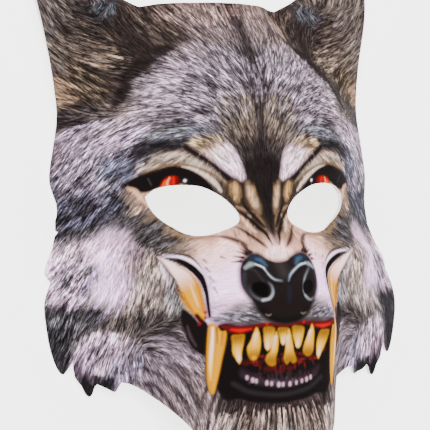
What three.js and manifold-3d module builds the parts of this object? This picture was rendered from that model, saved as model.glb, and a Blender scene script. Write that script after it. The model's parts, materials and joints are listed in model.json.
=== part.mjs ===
import * as THREE from "three";
import Module from "manifold-3d";

const wasm = await Module();
wasm.setup();

// Sizes of the mask, in millimetres
const FACE_WIDTH = 206; // across the lower cheeks, where the face is widest
const FACE_LENGTH = 284; // chin to ear tips
const MUZZLE_HEIGHT = 63; // front of the muzzle above the rim that the mask lies on
const WALL = 2; // printed cloth on thin foam
const EYE_WIDTH = 43.2;
const EYE_HEIGHT = 25.6;
const EYE_SPACING = 70.8; // centre to centre of the two eye holes
const EYE_LEVEL = -17.2; // centre of the eye holes from the middle of the length
const NOSE_RISE = 3.5; // ball of the nose over the muzzle
const NOSTRIL_DEPTH = 1.8;
const MOUTH_DEPTH = 2.5; // teeth behind the upper lip
const LIP_RISE = 1.8; // rolled lower lip
const BROW_RISE = 2; // frowning ridge over each eye hole
const EAR_HOLLOW = 2.5; // cupped middle of each ear

const HALF_WIDTH = FACE_WIDTH / 2;

// The pressed form, one row per cross-section from the chin to the ear tips. level is a share of
// FACE_LENGTH from its middle, each out a share of HALF_WIDTH and each up a share of MUZZLE_HEIGHT.
// level, ridge up, flank out, up, fold out, up, cheek out, up, rim out, up
const SECTIONS = [
  [-0.509, 0.65, 0.22, 0.59, 0.335, 0.41, 0.415, 0.08, 0.7, -0.25],
  [-0.445, 0.715, 0.26, 0.645, 0.38, 0.475, 0.46, 0.15, 0.76, -0.13],
  [-0.375, 0.74, 0.29, 0.67, 0.42, 0.465, 0.53, 0.13, 0.815, 0.01],
  [-0.322, 0.84, 0.3, 0.745, 0.43, 0.525, 0.58, 0.24, 0.92, 0.01],
  [-0.269, 0.95, 0.27, 0.875, 0.42, 0.605, 0.6, 0.43, 0.98, 0.02],
  [-0.217, 0.95, 0.195, 0.915, 0.43, 0.59, 0.6, 0.47, 1, 0.04],
  [-0.139, 0.92, 0.145, 0.905, 0.31, 0.715, 0.555, 0.605, 0.97, 0.005],
  [-0.097, 0.85, 0.105, 0.8, 0.3, 0.645, 0.475, 0.57, 0.92, 0],
  [-0.058, 0.84, 0.095, 0.785, 0.29, 0.66, 0.545, 0.53, 0.895, 0],
  [-0.016, 0.835, 0.125, 0.785, 0.27, 0.74, 0.545, 0.515, 0.9, 0.01],
  [0.023, 0.825, 0.195, 0.785, 0.435, 0.665, 0.66, 0.43, 0.915, 0.01],
  [0.083, 0.855, 0.245, 0.825, 0.435, 0.715, 0.68, 0.43, 0.895, 0.05],
  [0.153, 0.895, 0.245, 0.84, 0.435, 0.7, 0.66, 0.41, 0.875, 0.095],
  [0.241, 0.76, 0.215, 0.7, 0.41, 0.475, 0.64, 0.27, 0.895, 0.165],
  [0.333, 0.525, 0.195, 0.43, 0.39, 0.19, 0.68, 0.205, 0.95, 0.22],
  [0.488, 0.41, 0.29, 0.315, 0.535, 0.19, 0.775, 0.175, 1.02, 0.16],
];

// Raised and sunk forms on the sections: a ridge from one end to the other that fades out at its reach.
// out and reach are shares of HALF_WIDTH, level a share of FACE_LENGTH, rise in millimetres.
const FORMS = [
  { name: "nose", from: [0, -0.206], to: [0.1, -0.206], reach: 0.155, rise: NOSE_RISE },
  { name: "nostril", from: [0.14, -0.213], to: [0.15, -0.209], reach: 0.06, rise: -NOSTRIL_DEPTH },
  { name: "nose cleft", from: [0, -0.165], to: [0, -0.155], reach: 0.06, rise: -NOSTRIL_DEPTH },
  { name: "teeth", from: [0, -0.301], to: [0.21, -0.303], reach: 0.09, rise: -MOUTH_DEPTH },
  { name: "lower lip", from: [0, -0.375], to: [0.18, -0.37], reach: 0.08, rise: LIP_RISE },
  { name: "inner brow", from: [0.15, 0.0], to: [0.3, 0.02], reach: 0.1, rise: BROW_RISE },
  { name: "ear cup", from: [0.68, 0.25], to: [0.8, 0.41], reach: 0.2, rise: -EAR_HOLLOW },
  { name: "outer brow", from: [0.42, 0.025], to: [0.55, 0.01], reach: 0.09, rise: BROW_RISE },
];

// Half of the cut edge, from the middle of the crown over the ear and down to the chin, in runs that are
// smooth between sharp notches and tips. out is a share of HALF_WIDTH, level a share of FACE_LENGTH.
const EDGE_RUNS = [
  // crown
  [[0, 0.323], [0.184, 0.327], [0.31, 0.335], [0.39, 0.333]],
  // ear
  [[0.39, 0.333], [0.45, 0.343], [0.54, 0.361], [0.61, 0.389], [0.67, 0.424], [0.73, 0.46],
    [0.79, 0.486], [0.85, 0.5], [0.905, 0.493], [0.945, 0.465], [0.965, 0.418], [0.96, 0.37],
    [0.935, 0.315], [0.89, 0.234], [0.865, 0.16], [0.868, 0.118], [0.903, 0.048], [0.91, 0.015],
    [0.887, -0.02], [0.889, -0.044], [0.909, -0.064]],
  // upper cheek tufts
  [[0.909, -0.064], [0.889, -0.071]],
  [[0.889, -0.071], [0.93, -0.092], [0.965, -0.122], [0.975, -0.143], [0.957, -0.16]],
  [[0.957, -0.16], [0.992, -0.19], [1, -0.22], [0.988, -0.261], [0.965, -0.296], [0.942, -0.315],
    [0.922, -0.32], [0.906, -0.313], [0.883, -0.301]],
  // tufts under the cheek
  [[0.883, -0.301], [0.871, -0.327], [0.841, -0.342], [0.825, -0.355], [0.807, -0.362], [0.79, -0.358],
    [0.779, -0.346], [0.766, -0.342]],
  [[0.766, -0.342], [0.738, -0.35], [0.704, -0.354], [0.68, -0.358], [0.666, -0.35], [0.656, -0.343]],
  // jaw and chin
  [[0.656, -0.343], [0.618, -0.346], [0.546, -0.361], [0.488, -0.382], [0.448, -0.404], [0.414, -0.426],
    [0.388, -0.444], [0.363, -0.463], [0.324, -0.48], [0.25, -0.493], [0.146, -0.499], [0, -0.5]],
];

// One eye hole, a smooth run from its sharp outer corner over the top, round the inner corner and back.
// Shares of EYE_WIDTH and EYE_HEIGHT from its centre.
const EYE_RUN = [
  [0.5, 0.34], [0.4, 0.46], [0.25, 0.5], [0.08, 0.48], [-0.08, 0.43], [-0.24, 0.3], [-0.37, 0.15],
  [-0.47, -0.05], [-0.5, -0.18], [-0.485, -0.29], [-0.43, -0.37], [-0.31, -0.44], [-0.17, -0.5],
  [-0.02, -0.5], [0.11, -0.44], [0.22, -0.32], [0.34, -0.17], [0.43, -0.01], [0.48, 0.17], [0.5, 0.34],
];

// Mesh of the blank
const ROWS = 71; // rows of cells along the length
const CELLS = [4, 4, 5, 6, 1]; // cells across: to the flank, fold, cheek and rim, and past the rim
const PAST_RIM = 10; // how far the uncut blank runs past the rim
const BOW = 120; // bend of the uncut blank up to its corners, so that its cells don't lie in one plane
const CURVE_STEPS = 2; // straight edges between two points of a smooth run
const NORMAL_STEP = 0.5; // distance over which the slope of the form is measured

// Where a value lies in an ascending list: the index of the interval that holds it.
function intervalOf(list, value) {
  let i = 0;
  while (i < list.length - 2 && value > list[i + 1]) i++;
  return i;
}

// Smooth curve through two neighbours with given slopes.
function between(x0, x1, y0, y1, slope0, slope1, x) {
  const span = x1 - x0, t = (x - x0) / span, s = 1 - t;
  return y0 * (1 + 2 * t) * s * s + slope0 * span * t * s * s +
    y1 * t * t * (3 - 2 * t) - slope1 * span * t * t * s;
}

// The cross-section at a distance along the length: points out from the middle and their heights.
const levels = SECTIONS.map((row) => row[0] * FACE_LENGTH);
function sectionAt(along) {
  const i = intervalOf(levels, along);
  const at = (row, column) => SECTIONS[Math.min(Math.max(row, 0), SECTIONS.length - 1)][column];
  const place = (row) => levels[Math.min(Math.max(row, 0), levels.length - 1)];
  const slope = (row, column) =>
    (at(row + 1, column) - at(row - 1, column)) / (place(row + 1) - place(row - 1));
  const values = SECTIONS[0].map((_, column) =>
    between(levels[i], levels[i + 1], at(i, column), at(i + 1, column),
      slope(i, column), slope(i + 1, column), along));
  return {
    out: [0, 2, 4, 6, 8].map((column) => (column ? values[column] * HALF_WIDTH : 0)),
    up: [1, 3, 5, 7, 9].map((column) => values[column] * MUZZLE_HEIGHT),
  };
}

// Height of a cross-section: level across the ridge, then falling without waves to the rim and beyond it.
function sectionHeight({ out, up }, x) {
  const steps = out.slice(1).map((o, i) => o - out[i]);
  const falls = steps.map((step, i) => (up[i + 1] - up[i]) / step);
  const slopes = out.map((_, i) => {
    if (i === 0) return 0;
    if (i === out.length - 1) return falls[i - 1];
    if (falls[i - 1] * falls[i] <= 0) return 0;
    const near = 2 * steps[i] + steps[i - 1], far = steps[i] + 2 * steps[i - 1];
    return (near + far) / (near / falls[i - 1] + far / falls[i]);
  });
  const last = out.length - 1;
  if (x >= out[last]) return up[last] + (x - out[last]) * slopes[last];
  const i = intervalOf(out, x);
  return between(out[i], out[i + 1], up[i], up[i + 1], slopes[i], slopes[i + 1], x);
}

// Sum of the raised and sunk forms at a point of one half.
function relief(x, y) {
  const point = new THREE.Vector2(x, y);
  return FORMS.reduce((sum, form) => {
    const start = new THREE.Vector2(form.from[0] * HALF_WIDTH, form.from[1] * FACE_LENGTH);
    const run = new THREE.Vector2(form.to[0] * HALF_WIDTH, form.to[1] * FACE_LENGTH).sub(start);
    const share = THREE.MathUtils.clamp(point.clone().sub(start).dot(run) / run.lengthSq(), 0, 1);
    const away = point.distanceTo(start.addScaledVector(run, share)) / (form.reach * HALF_WIDTH);
    return away < 1 ? sum + form.rise * (1 - away * away) ** 2 : sum;
  }, 0);
}

const height = (x, y) => sectionHeight(sectionAt(y), Math.abs(x)) + relief(Math.abs(x), y);

// Direction straight out of the face of the form.
function faceNormal(x, y) {
  const across = height(x + NORMAL_STEP, y) - height(x - NORMAL_STEP, y);
  const along = height(x, y + NORMAL_STEP) - height(x, y - NORMAL_STEP);
  return new THREE.Vector3(-across, -along, 2 * NORMAL_STEP).normalize();
}

// A solid from a three.js geometry, and back.
function solidOf(positions, triangles) {
  return new wasm.Manifold(
    new wasm.Mesh({
      numProp: 3,
      vertProperties: new Float32Array(positions),
      triVerts: new Uint32Array(triangles),
    }),
  );
}

function geometryOf(solid) {
  const mesh = solid.getMesh();
  const geometry = new THREE.BufferGeometry();
  geometry.setAttribute("position", new THREE.BufferAttribute(mesh.vertProperties, 3));
  geometry.setIndex(new THREE.BufferAttribute(mesh.triVerts, 1));
  return geometry;
}

// The uncut blank: a slab of cells whose lines follow the sections, bent up towards its corners.
const halfDiagonal = Math.hypot(HALF_WIDTH, FACE_LENGTH / 2);
const bow = (x, y) => BOW * (Math.hypot(x, y) / halfDiagonal) ** 2;
function blank() {
  const columns = CELLS.reduce((sum, n) => sum + n, 0);
  const width = 2 * columns + 1;
  const positions = [], triangles = [];
  for (const side of [0, WALL]) {
    for (let row = 0; row <= ROWS; row++) {
      const y = (row / ROWS - 0.5) * (FACE_LENGTH + 2 * PAST_RIM);
      const { out } = sectionAt(y);
      const stops = [...out, out[out.length - 1] + PAST_RIM];
      const line = CELLS.flatMap((n, i) =>
        Array.from({ length: n }, (_, k) => THREE.MathUtils.lerp(stops[i], stops[i + 1], k / n)));
      line.push(stops[stops.length - 1]);
      for (let column = -columns; column <= columns; column++) {
        const x = Math.sign(column) * line[Math.abs(column)];
        positions.push(x, y, side + bow(x, y));
      }
    }
  }
  const layer = width * (ROWS + 1);
  for (let row = 0; row < ROWS; row++) {
    for (let column = 0; column < width - 1; column++) {
      const a = row * width + column, b = a + 1, c = a + width, d = c + 1;
      // The diagonal runs the other way on the other half, so that the two halves mirror each other.
      const cell = column < columns ? [a, b, c, b, d, c] : [a, b, d, a, d, c];
      triangles.push(...cell.map((v) => v + layer), ...cell.reverse());
    }
  }
  const edge = [];
  for (let column = 0; column < width - 1; column++) edge.push(column);
  for (let row = 0; row < ROWS; row++) edge.push(row * width + width - 1);
  for (let column = width - 1; column > 0; column--) edge.push(ROWS * width + column);
  for (let row = ROWS; row > 0; row--) edge.push(row * width);
  edge.forEach((a, i) => {
    const b = edge[(i + 1) % edge.length];
    triangles.push(a, b, b + layer, a, b + layer, a + layer);
  });
  return solidOf(positions, triangles);
}

// Points along a smooth run, without its last one, each put in its place in millimetres.
function smooth(run, place) {
  const curve = new THREE.SplineCurve(run.map(([across, along]) => place(across, along)));
  return curve.getPoints(run.length > 2 ? (run.length - 1) * CURVE_STEPS : 1).slice(0, -1);
}

// The knife: the outline of the face with its eye holes, run through the blank.
function knife() {
  const onFace = (out, level) => new THREE.Vector2(out * HALF_WIDTH, level * FACE_LENGTH);
  const half = EDGE_RUNS.flatMap((run) => smooth(run, onFace));
  const chin = onFace(...EDGE_RUNS.at(-1).at(-1));
  const mirrored = half.slice(1).reverse().map((p) => new THREE.Vector2(-p.x, p.y));
  const face = new THREE.Shape([...half, chin, ...mirrored].reverse());
  for (const side of [-1, 1]) {
    const inEye = (out, up) =>
      new THREE.Vector2(side * (EYE_SPACING / 2 + out * EYE_WIDTH), EYE_LEVEL + up * EYE_HEIGHT);
    face.holes.push(new THREE.Path(smooth(EYE_RUN, inEye)));
  }
  const deep = 2 * (WALL + bow(HALF_WIDTH + PAST_RIM, FACE_LENGTH / 2 + PAST_RIM));
  const geometry = new THREE.ExtrudeGeometry(face, { depth: deep, bevelEnabled: false });
  geometry.translate(0, 0, -deep / 2 + WALL);
  return weld(geometry);
}

// A solid from a geometry whose faces don't share their corners yet.
function weld(geometry) {
  const seen = new Map(), positions = [], triangles = [];
  const source = geometry.index ? geometry.toNonIndexed() : geometry;
  const corners = source.getAttribute("position");
  for (let i = 0; i < corners.count; i++) {
    const corner = [corners.getX(i), corners.getY(i), corners.getZ(i)];
    const key = corner.map((v) => v.toFixed(4)).join();
    if (!seen.has(key)) {
      seen.set(key, positions.length / 3);
      positions.push(...corner);
    }
    triangles.push(seen.get(key));
  }
  return solidOf(positions, triangles);
}

// The cut blank is pressed over the form: its face takes the height, its back lies a wall behind.
function pressed(cut) {
  const { vertProperties: from, triVerts } = cut.getMesh();
  const positions = [];
  for (let i = 0; i < from.length; i += 3) {
    const x = from[i], y = from[i + 1];
    const onFace = from[i + 2] - bow(x, y) > WALL / 2;
    const point = new THREE.Vector3(x, y, height(x, y));
    if (!onFace) point.addScaledVector(faceNormal(x, y), -WALL);
    positions.push(...point.toArray());
  }
  return solidOf(positions, triVerts);
}

// What would reach below the rim plane is cut off, so that the cheeks and temples stand flat.
const room = new THREE.BoxGeometry(2 * FACE_WIDTH, 2 * FACE_LENGTH, 2 * MUZZLE_HEIGHT);
room.translate(0, 0, MUZZLE_HEIGHT);
const shell = pressed(blank().intersect(knife())).intersect(weld(room));

const mask = new THREE.Group();
mask.name = "wolf_mask";
const shellMesh = new THREE.Mesh(
  geometryOf(shell),
  new THREE.MeshStandardMaterial({ color: 0x8a8590, roughness: 0.9, metalness: 0 }),
);
shellMesh.name = "mask_shell";
mask.add(shellMesh);

export default mask;
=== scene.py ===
# %% [markdown]
# The object is a wolf's face to wear as a mask. It is one sheet of printed cloth on thin foam, pressed
# warm over a form. What makes it look real is the print: fur, brow, eyes, nose and bared teeth.
# The frame gives its true shape. This script gives that shape a finer skin and prints the wolf on it.

import json
import math

import bmesh
import bpy
import numpy as np
from mathutils import Matrix, Vector
from mathutils.bvhtree import BVHTree
from mathutils.geometry import delaunay_2d_cdt
from mathutils.kdtree import KDTree

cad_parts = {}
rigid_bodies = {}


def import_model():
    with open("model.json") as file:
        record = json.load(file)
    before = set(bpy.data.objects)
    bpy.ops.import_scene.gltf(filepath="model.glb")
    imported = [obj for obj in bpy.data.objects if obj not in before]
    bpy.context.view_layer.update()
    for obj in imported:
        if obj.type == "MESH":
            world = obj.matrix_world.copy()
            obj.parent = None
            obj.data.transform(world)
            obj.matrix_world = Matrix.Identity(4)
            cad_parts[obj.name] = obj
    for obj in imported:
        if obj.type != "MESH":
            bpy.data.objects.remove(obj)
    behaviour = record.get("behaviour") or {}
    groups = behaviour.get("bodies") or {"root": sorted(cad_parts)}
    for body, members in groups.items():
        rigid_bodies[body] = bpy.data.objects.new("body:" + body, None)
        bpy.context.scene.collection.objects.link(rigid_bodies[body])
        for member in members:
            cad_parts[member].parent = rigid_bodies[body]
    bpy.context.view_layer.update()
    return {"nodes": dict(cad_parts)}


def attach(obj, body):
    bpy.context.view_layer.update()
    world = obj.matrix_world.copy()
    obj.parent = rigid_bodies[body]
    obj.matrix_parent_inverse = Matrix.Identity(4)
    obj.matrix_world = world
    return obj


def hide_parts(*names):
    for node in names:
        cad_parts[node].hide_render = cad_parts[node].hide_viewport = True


for thing in list(bpy.context.scene.objects):
    bpy.data.objects.remove(thing)
MM = 0.001  # the print is laid out in millimetres, and Blender works in metres
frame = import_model()
shell = frame["nodes"]["mask_shell"]

# %% [markdown]
# The camera comes first, because every look at the print is taken through it. The mask lies face up on
# its rim, and the camera looks down at it from its left side, a little from the chin.

# %% Camera
CAMERA_AT = Vector((-419.1, -139.6, 776.2)) * MM
LOOKS_AT = Vector((-20.5, -19.0, 35.2)) * MM
MASK_UP = Vector((0, 0.977, 0.213))  # up in the picture: chin to ears
LENS, SENSOR = 142.3, 36  # mm
camera = bpy.data.objects.new("camera", bpy.data.cameras.new("camera"))
bpy.context.scene.collection.objects.link(camera)
away = (CAMERA_AT - LOOKS_AT).normalized()
right = MASK_UP.cross(away).normalized()
turned = Matrix((right, away.cross(right), away)).transposed().to_4x4()
camera.matrix_world = Matrix.Translation(CAMERA_AT) @ turned
camera.data.sensor_width, camera.data.lens = SENSOR, LENS
bpy.context.scene.camera = camera
print("camera", round((CAMERA_AT - LOOKS_AT).length, 3), "m away")

# %% [markdown]
# The frame's solid is a closed shell of flat triangles. Only its outer face carries the print, so that
# face is found by spreading from the highest triangle over all neighbours until the sharp cut edge.

# %% Outer face of the shell
SHARP = math.radians(50)  # an edge that is bent more ends the face
TINY = 0.03 * MM  # points closer than this are one
UPWARDS = 0.1  # the least that a triangle of the face looks up
bm = bmesh.new()
bm.from_mesh(shell.data)
bmesh.ops.remove_doubles(bm, verts=bm.verts, dist=TINY)
bmesh.ops.dissolve_degenerate(bm, edges=bm.edges, dist=TINY)
bmesh.ops.triangulate(bm, faces=[f for f in bm.faces if len(f.verts) > 3])
bm.normal_update()
bm.verts.index_update()
bm.faces.index_update()
start = max(bm.faces, key=lambda f: f.calc_center_median().z)
outer, queue = {start}, [start]
while queue:
    for edge in queue.pop().edges:
        if len(edge.link_faces) == 2 and edge.calc_face_angle(0) < SHARP:
            for f in edge.link_faces:
                if f not in outer and f.normal.z > UPWARDS:
                    outer.add(f)
                    queue.append(f)
outer = sorted(outer, key=lambda f: f.index)
corners = [[v.index for v in f.verts] for f in outer]
places = np.array([v.co for v in bm.verts]) / MM
bm.free()
face_tree = BVHTree.FromPolygons([Vector(p) for p in places], corners)
print("outer face:", len(corners), "triangles")

# %% [markdown]
# The outer face ends at three edges: the mask's outline and its two eye holes. On the real mask they are
# cut through cloth and foam. Each is followed from edge to edge into a ring, because the fine skin has to
# end on exactly these lines. Slips of a few points that cross themselves are left out.

# %% Its edges: the outline and two eye holes
sides = {(a, b) for face in corners for a, b in zip(face, face[1:] + face[:1])}
onward = {}
for a, b in sorted(sides):
    if (b, a) not in sides:
        onward.setdefault(a, []).append(b)
rings = []
for first in sorted(onward):
    walk = [first]
    while onward.get(walk[-1]):
        step = onward[walk[-1]].pop()
        if step in walk:
            cut = walk.index(step)
            rings.append(places[walk[cut:]])
            walk = walk[:cut + 1]
        else:
            walk.append(step)
rings = sorted(rings, key=len, reverse=True)[:3]  # the outline and two eye holes
print("edges:", [len(ring) for ring in rings], "points")

# %% [markdown]
# The flat triangles would show in the light, so the heights of the face are read on a grid and each is
# replaced by the plane that fits its neighbours best. That keeps the form and loses the facets.

# %% Smooth heights
GRID = 1.0  # mm between two heights
FIT = 1.6  # mm over which the heights are smoothed
SPAN = 7  # steps of the grid that the smoothing takes in, to either side
ENOUGH = 0.4  # least weight of known heights round a place
HALF_WIDE, HALF_LONG = 112, 150  # mm, a little past the mask
ABOVE = 200  # mm, higher than any point of it
xs = np.arange(-HALF_WIDE, HALF_WIDE + 1, GRID)
ys = np.arange(-HALF_LONG, HALF_LONG + 1, GRID)
seen = np.full((len(ys), len(xs)), np.nan)
for j, y in enumerate(ys):
    for i, x in enumerate(xs):
        hit = face_tree.ray_cast(Vector((x, y, ABOVE)), Vector((0, 0, -1)))[0]
        if hit is not None:
            seen[j, i] = hit.z


def weighed(values, along_x, along_y):
    """Each value's neighbours added up with the weights given for each direction."""
    half = len(along_x) // 2
    wide = np.pad(values, half)
    rows = sum(k * wide[:, i:i + values.shape[1]] for i, k in enumerate(along_x))
    return sum(k * rows[i:i + values.shape[0]] for i, k in enumerate(along_y))


reach = np.arange(-SPAN, SPAN + 1) * GRID
bell = np.exp(-(reach / FIT) ** 2 / 2)
known = (~np.isnan(seen)).astype(float)
filled = np.nan_to_num(seen)


def moments(values, degree):
    """Weighed sums of the values times powers of their distances."""
    return {(a, b): weighed(values, bell * reach ** a, bell * reach ** b)
            for a in range(degree + 1) for b in range(degree + 1 - a)}


spread, pull = moments(known, 2), moments(filled, 1)
terms = [(0, 0), (1, 0), (0, 1)]
fit = np.stack([np.stack([spread[a[0] + b[0], a[1] + b[1]] for b in terms], -1) for a in terms], -2)
near = spread[0, 0] > ENOUGH
fit[~near] = np.eye(3)
heights = np.linalg.solve(fit, np.stack([pull[a] for a in terms], -1)[..., None])[..., 0, 0]
heights[~near] = np.nan
for row in heights:  # past the edge each row keeps its last height
    have = ~np.isnan(row)
    if have.any():
        row[:] = np.interp(xs, xs[have], row[have])
rows = np.flatnonzero(~np.isnan(heights[:, 0]))
heights[:rows[0]] = heights[rows[0]]
heights[rows[-1] + 1:] = heights[rows[-1]]
slope = np.gradient(heights, GRID, axis=1)
lengths = np.sqrt(1 + slope ** 2) * GRID
unrolled = np.cumsum(lengths, axis=1) - lengths / 2
unrolled -= unrolled[:, len(xs) // 2][:, None]
print("heights", round(float(np.nanmin(seen)), 1), "to", round(float(np.nanmax(seen)), 1), "mm")

# %% [markdown]
# The fine skin needs a height and a tangent at any place, not only at the grid's. Between four grid
# points both are mixed by nearness. Two more helpers belong here: the direction straight out of the face,
# and the place of each point when the cloth is thought flat, so that a weave doesn't stretch on slopes.

# %% Reading the heights anywhere
def four_weights(t):
    """Weights of the four values round a place, for a smooth curve through them."""
    return np.stack([((2 - t) * t - 1) * t / 2, ((3 * t - 5) * t * t + 2) / 2,
                     ((4 - 3 * t) * t + 1) * t / 2, (t - 1) * t * t / 2])


def read(grid, x, y):
    """Values of a grid at any places."""
    across, along = (x - xs[0]) / GRID, (y - ys[0]) / GRID
    i = np.clip(np.floor(across).astype(int), 1, len(xs) - 3)
    j = np.clip(np.floor(along).astype(int), 1, len(ys) - 3)
    wx, wy = four_weights(across - i), four_weights(along - j)
    return sum(wy[b] * wx[a] * grid[j + b - 1, i + a - 1] for a in range(4) for b in range(4))


def lifted(plan):
    """Places on the mask's face above points of its plan."""
    plan = np.asarray(plan, float)
    return np.column_stack([plan, np.maximum(read(heights, *plan.T), 0)])


def outward(plan, gap=0.5):
    """Directions straight out of the face."""
    x, y = plan.T
    across = read(heights, x + gap, y) - read(heights, x - gap, y)
    along = read(heights, x, y + gap) - read(heights, x, y - gap)
    normal = np.column_stack([-across, -along, np.full(len(x), 2 * gap)])
    return normal / np.linalg.norm(normal, axis=1)[:, None]


def flattened(plan):
    """The plan with each cross-section unrolled, as the cloth was before pressing."""
    return np.column_stack([read(unrolled, *plan.T), plan[:, 1]])


print("height at the middle, mm:", np.round(lifted(np.zeros((1, 2)))[0, 2], 1))

# %% [markdown]
# The print is carried by the corners of the mesh, so they lie close together, closest round the eyes,
# nose and mouth, where its lines are finest. They are laid out on the unrolled cloth, so that the steep
# cheeks get as many as the flat brow, and are joined by a triangulation that keeps to the cut edges.

# %% Points of the fine skin
EDGE_STEP = 0.7  # spacing of the corners in mm: along the edges,
FINE, PLAIN, BACK = 0.6, 1.06, 3.4  # round eyes, nose and mouth, elsewhere, and on the back
FREE, COARSE = 0.55, 1.2  # share of the spacing left free beside an edge, of this spacing at most
WALL = 2.0  # mm of cloth and foam
HALF_FLAT = 160  # mm, more than half of the unrolled cloth
BATCH = 3000  # points that are tested at a time
FINE_AREAS = (((-46, 46), (-142, -112)), ((-52, 52), (-112, -36)), ((-68, 68), (-36, 18)))  # x and y, mm


def divided(ring):
    """A ring with its sides cut into equal short steps."""
    points = []
    for a, b in zip(ring, np.roll(ring, -1, axis=0)):
        n = max(1, round(np.linalg.norm(b - a) / EDGE_STEP))
        points += [a + (b - a) * k / n for k in range(n)]
    return np.array(points)[:, :2]


edges = [divided(ring) for ring in rings]
edge_plan = np.vstack(edges)
edge_flat = flattened(edge_plan)
starts = np.cumsum([0] + [len(e) for e in edges])
after = np.concatenate([s + (np.arange(len(e)) + 1) % len(e) for s, e in zip(starts, edges)])


def crossings(points, ring, ring_next):
    """True for points inside: a line to the right of each crosses the ring an odd number of times."""
    x, y = points[:, None, 0], points[:, None, 1]
    rise = np.where(ring_next[:, 1] == ring[:, 1], 1, ring_next[:, 1] - ring[:, 1])
    spans = (ring[:, 1] > y) != (ring_next[:, 1] > y)
    at = ring[:, 0] + (y - ring[:, 1]) * (ring_next[:, 0] - ring[:, 0]) / rise
    return (spans & (x < at)).sum(1) % 2 == 1


def on_cloth(points):
    """True for points inside the outline and outside the eye holes."""
    return np.concatenate([crossings(points[k:k + BATCH], edge_flat, edge_flat[after])
                           for k in range(0, len(points), BATCH)])


rim_tree = KDTree(3 * len(edge_flat))
for i, p in enumerate(edge_flat):
    for t in (0, 1 / 3, 2 / 3):
        rim_tree.insert((*(p * (1 - t) + edge_flat[after[i]] * t), 0), i)
rim_tree.balance()


def in_fine(points):
    """True for points in the areas that need the fine spacing."""
    across, along = points.T
    return np.any([(across > x[0]) & (across < x[1]) & (along > y[0]) & (along < y[1])
                   for x, y in FINE_AREAS], axis=0)


def laid(step, wanted):
    """A triangular pattern of points on the unrolled cloth, clear of its edges."""
    row = np.arange(-HALF_FLAT, HALF_FLAT, step)
    rows = [np.column_stack([row + (k % 2) * step / 2, np.full(len(row), y)])
            for k, y in enumerate(np.arange(ys[0], ys[-1], step * math.sqrt(3) / 2))]
    points = np.vstack(rows)
    points = points[wanted(points)]
    points = points[on_cloth(points)]
    clear = [rim_tree.find((*p, 0))[2] > FREE * min(step, COARSE) for p in points.tolist()]
    return points[np.array(clear)]


def rolled(points):
    """Plan of points given on the unrolled cloth."""
    along = (points[:, 1] - ys[0]) / GRID
    j = np.clip(np.floor(along).astype(int), 0, len(ys) - 2)
    x = np.empty(len(points))
    for row in np.unique(j):
        k = np.flatnonzero(j == row)
        share = along[k] - row
        x[k] = (np.interp(points[k, 0], unrolled[row], xs) * (1 - share)
                + np.interp(points[k, 0], unrolled[row + 1], xs) * share)
    return np.column_stack([x, points[:, 1]])


inner_flat = np.vstack([laid(FINE, in_fine), laid(PLAIN, lambda p: ~in_fine(p))])
back_flat = laid(BACK, lambda p: np.ones(len(p), bool))
print("points:", len(edge_flat), "on the edges,", len(inner_flat), "inside")

# %% [markdown]
# Blender joins scattered points of a plan into even triangles with a constrained Delaunay call, which
# keeps the three edges as they are. Built point by point, because no modifier gives a skin that is fine
# only where the print needs it. The back and the cut edge close the shell, with their own material.

# %% Triangles between them
def joined(inner):
    """Triangles over the edge points and the inner ones, without those across the holes and notches."""
    points = np.vstack([edge_flat, inner])
    made = delaunay_2d_cdt([Vector(p) for p in points.tolist()],
                           list(enumerate(after.tolist())), [], 0, 1e-6)
    if len(made[0]) != len(points):
        raise SystemExit("the cut edge crosses itself")
    faces = np.array([o[0] for o in made[3]])[np.array(made[2])]
    all_edge = (faces < len(edge_flat)).all(1)
    keep = ~all_edge
    keep[all_edge] = on_cloth(points[faces[all_edge]].mean(1))
    return faces[keep]


def facing(faces, points, up):
    """The triangles, all turned to look up or down."""
    a, b, c = (points[faces[0, k]] for k in range(3))
    return faces if (np.cross(b - a, c - a)[2] > 0) == up else faces[:, ::-1]


plan = np.vstack([edge_plan, rolled(inner_flat)])
front = lifted(plan)
count = len(front)
back_plan = np.vstack([edge_plan, rolled(back_flat)])
back = lifted(back_plan) - WALL * outward(back_plan)
back[:, 2] = np.maximum(back[:, 2], 0)
front_faces = facing(joined(inner_flat), front, True)
back_faces = facing(joined(back_flat), back, False) + count
used = {(a, b) for f in front_faces.tolist() for a, b in zip(f, f[1:] + f[:1])
        if a < len(edge_flat) and b < len(edge_flat)}
rim_faces = []
for a, b in enumerate(after.tolist()):
    if (a, b) not in used:
        a, b = b, a
    rim_faces += [(b, a, a + count), (b, a + count, b + count)]
faces = np.vstack([front_faces, rim_faces, back_faces])
points = np.vstack([front, back])
mesh = bpy.data.meshes.new("mask")
mesh.from_pydata((points * MM).tolist(), [], faces.tolist())
slots = np.ones(len(faces), int)
slots[:len(front_faces)] = 0
mesh.polygons.foreach_set("material_index", slots)
mesh.polygons.foreach_set("use_smooth", np.ones(len(faces), bool))
mesh.set_sharp_from_angle(angle=SHARP)
mask = bpy.data.objects.new("mask", mesh)
bpy.context.scene.collection.objects.link(mask)
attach(mask, "root")
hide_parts("mask_shell")
print("mask:", len(faces), "triangles,", len(front_faces), "of them on the front")

# %% [markdown]
# A print on fur starts with its ground: the broad tones of the coat, blended into each other. Each line
# of the table is a place on one half of the face, the colour there and how strongly single hairs stand
# out, and how far it reaches. Each corner of the mesh takes the mean of the places near it.

# %% Ground tones
LIGHT = 3.3  # how many times brighter than its own colour the lamps show the cloth
SEEN = [0, 6, 15, 27, 43, 66, 98, 136, 170, 197, 217, 233, 245]
STOPS = [-10, -8, -7, -6, -5, -4, -3, -2, -1, 0, 1, 2, 3]
FULL = 0.92  # no cloth is whiter
FAINT = 1e-12  # weight that even a far place has


def laid_ink(seen):
    """The ink that looks so under the lamps: the view lifts each stop of light to a known tone."""
    return np.minimum(2.0 ** np.interp(seen, SEEN, STOPS) / LIGHT, FULL)


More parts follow.
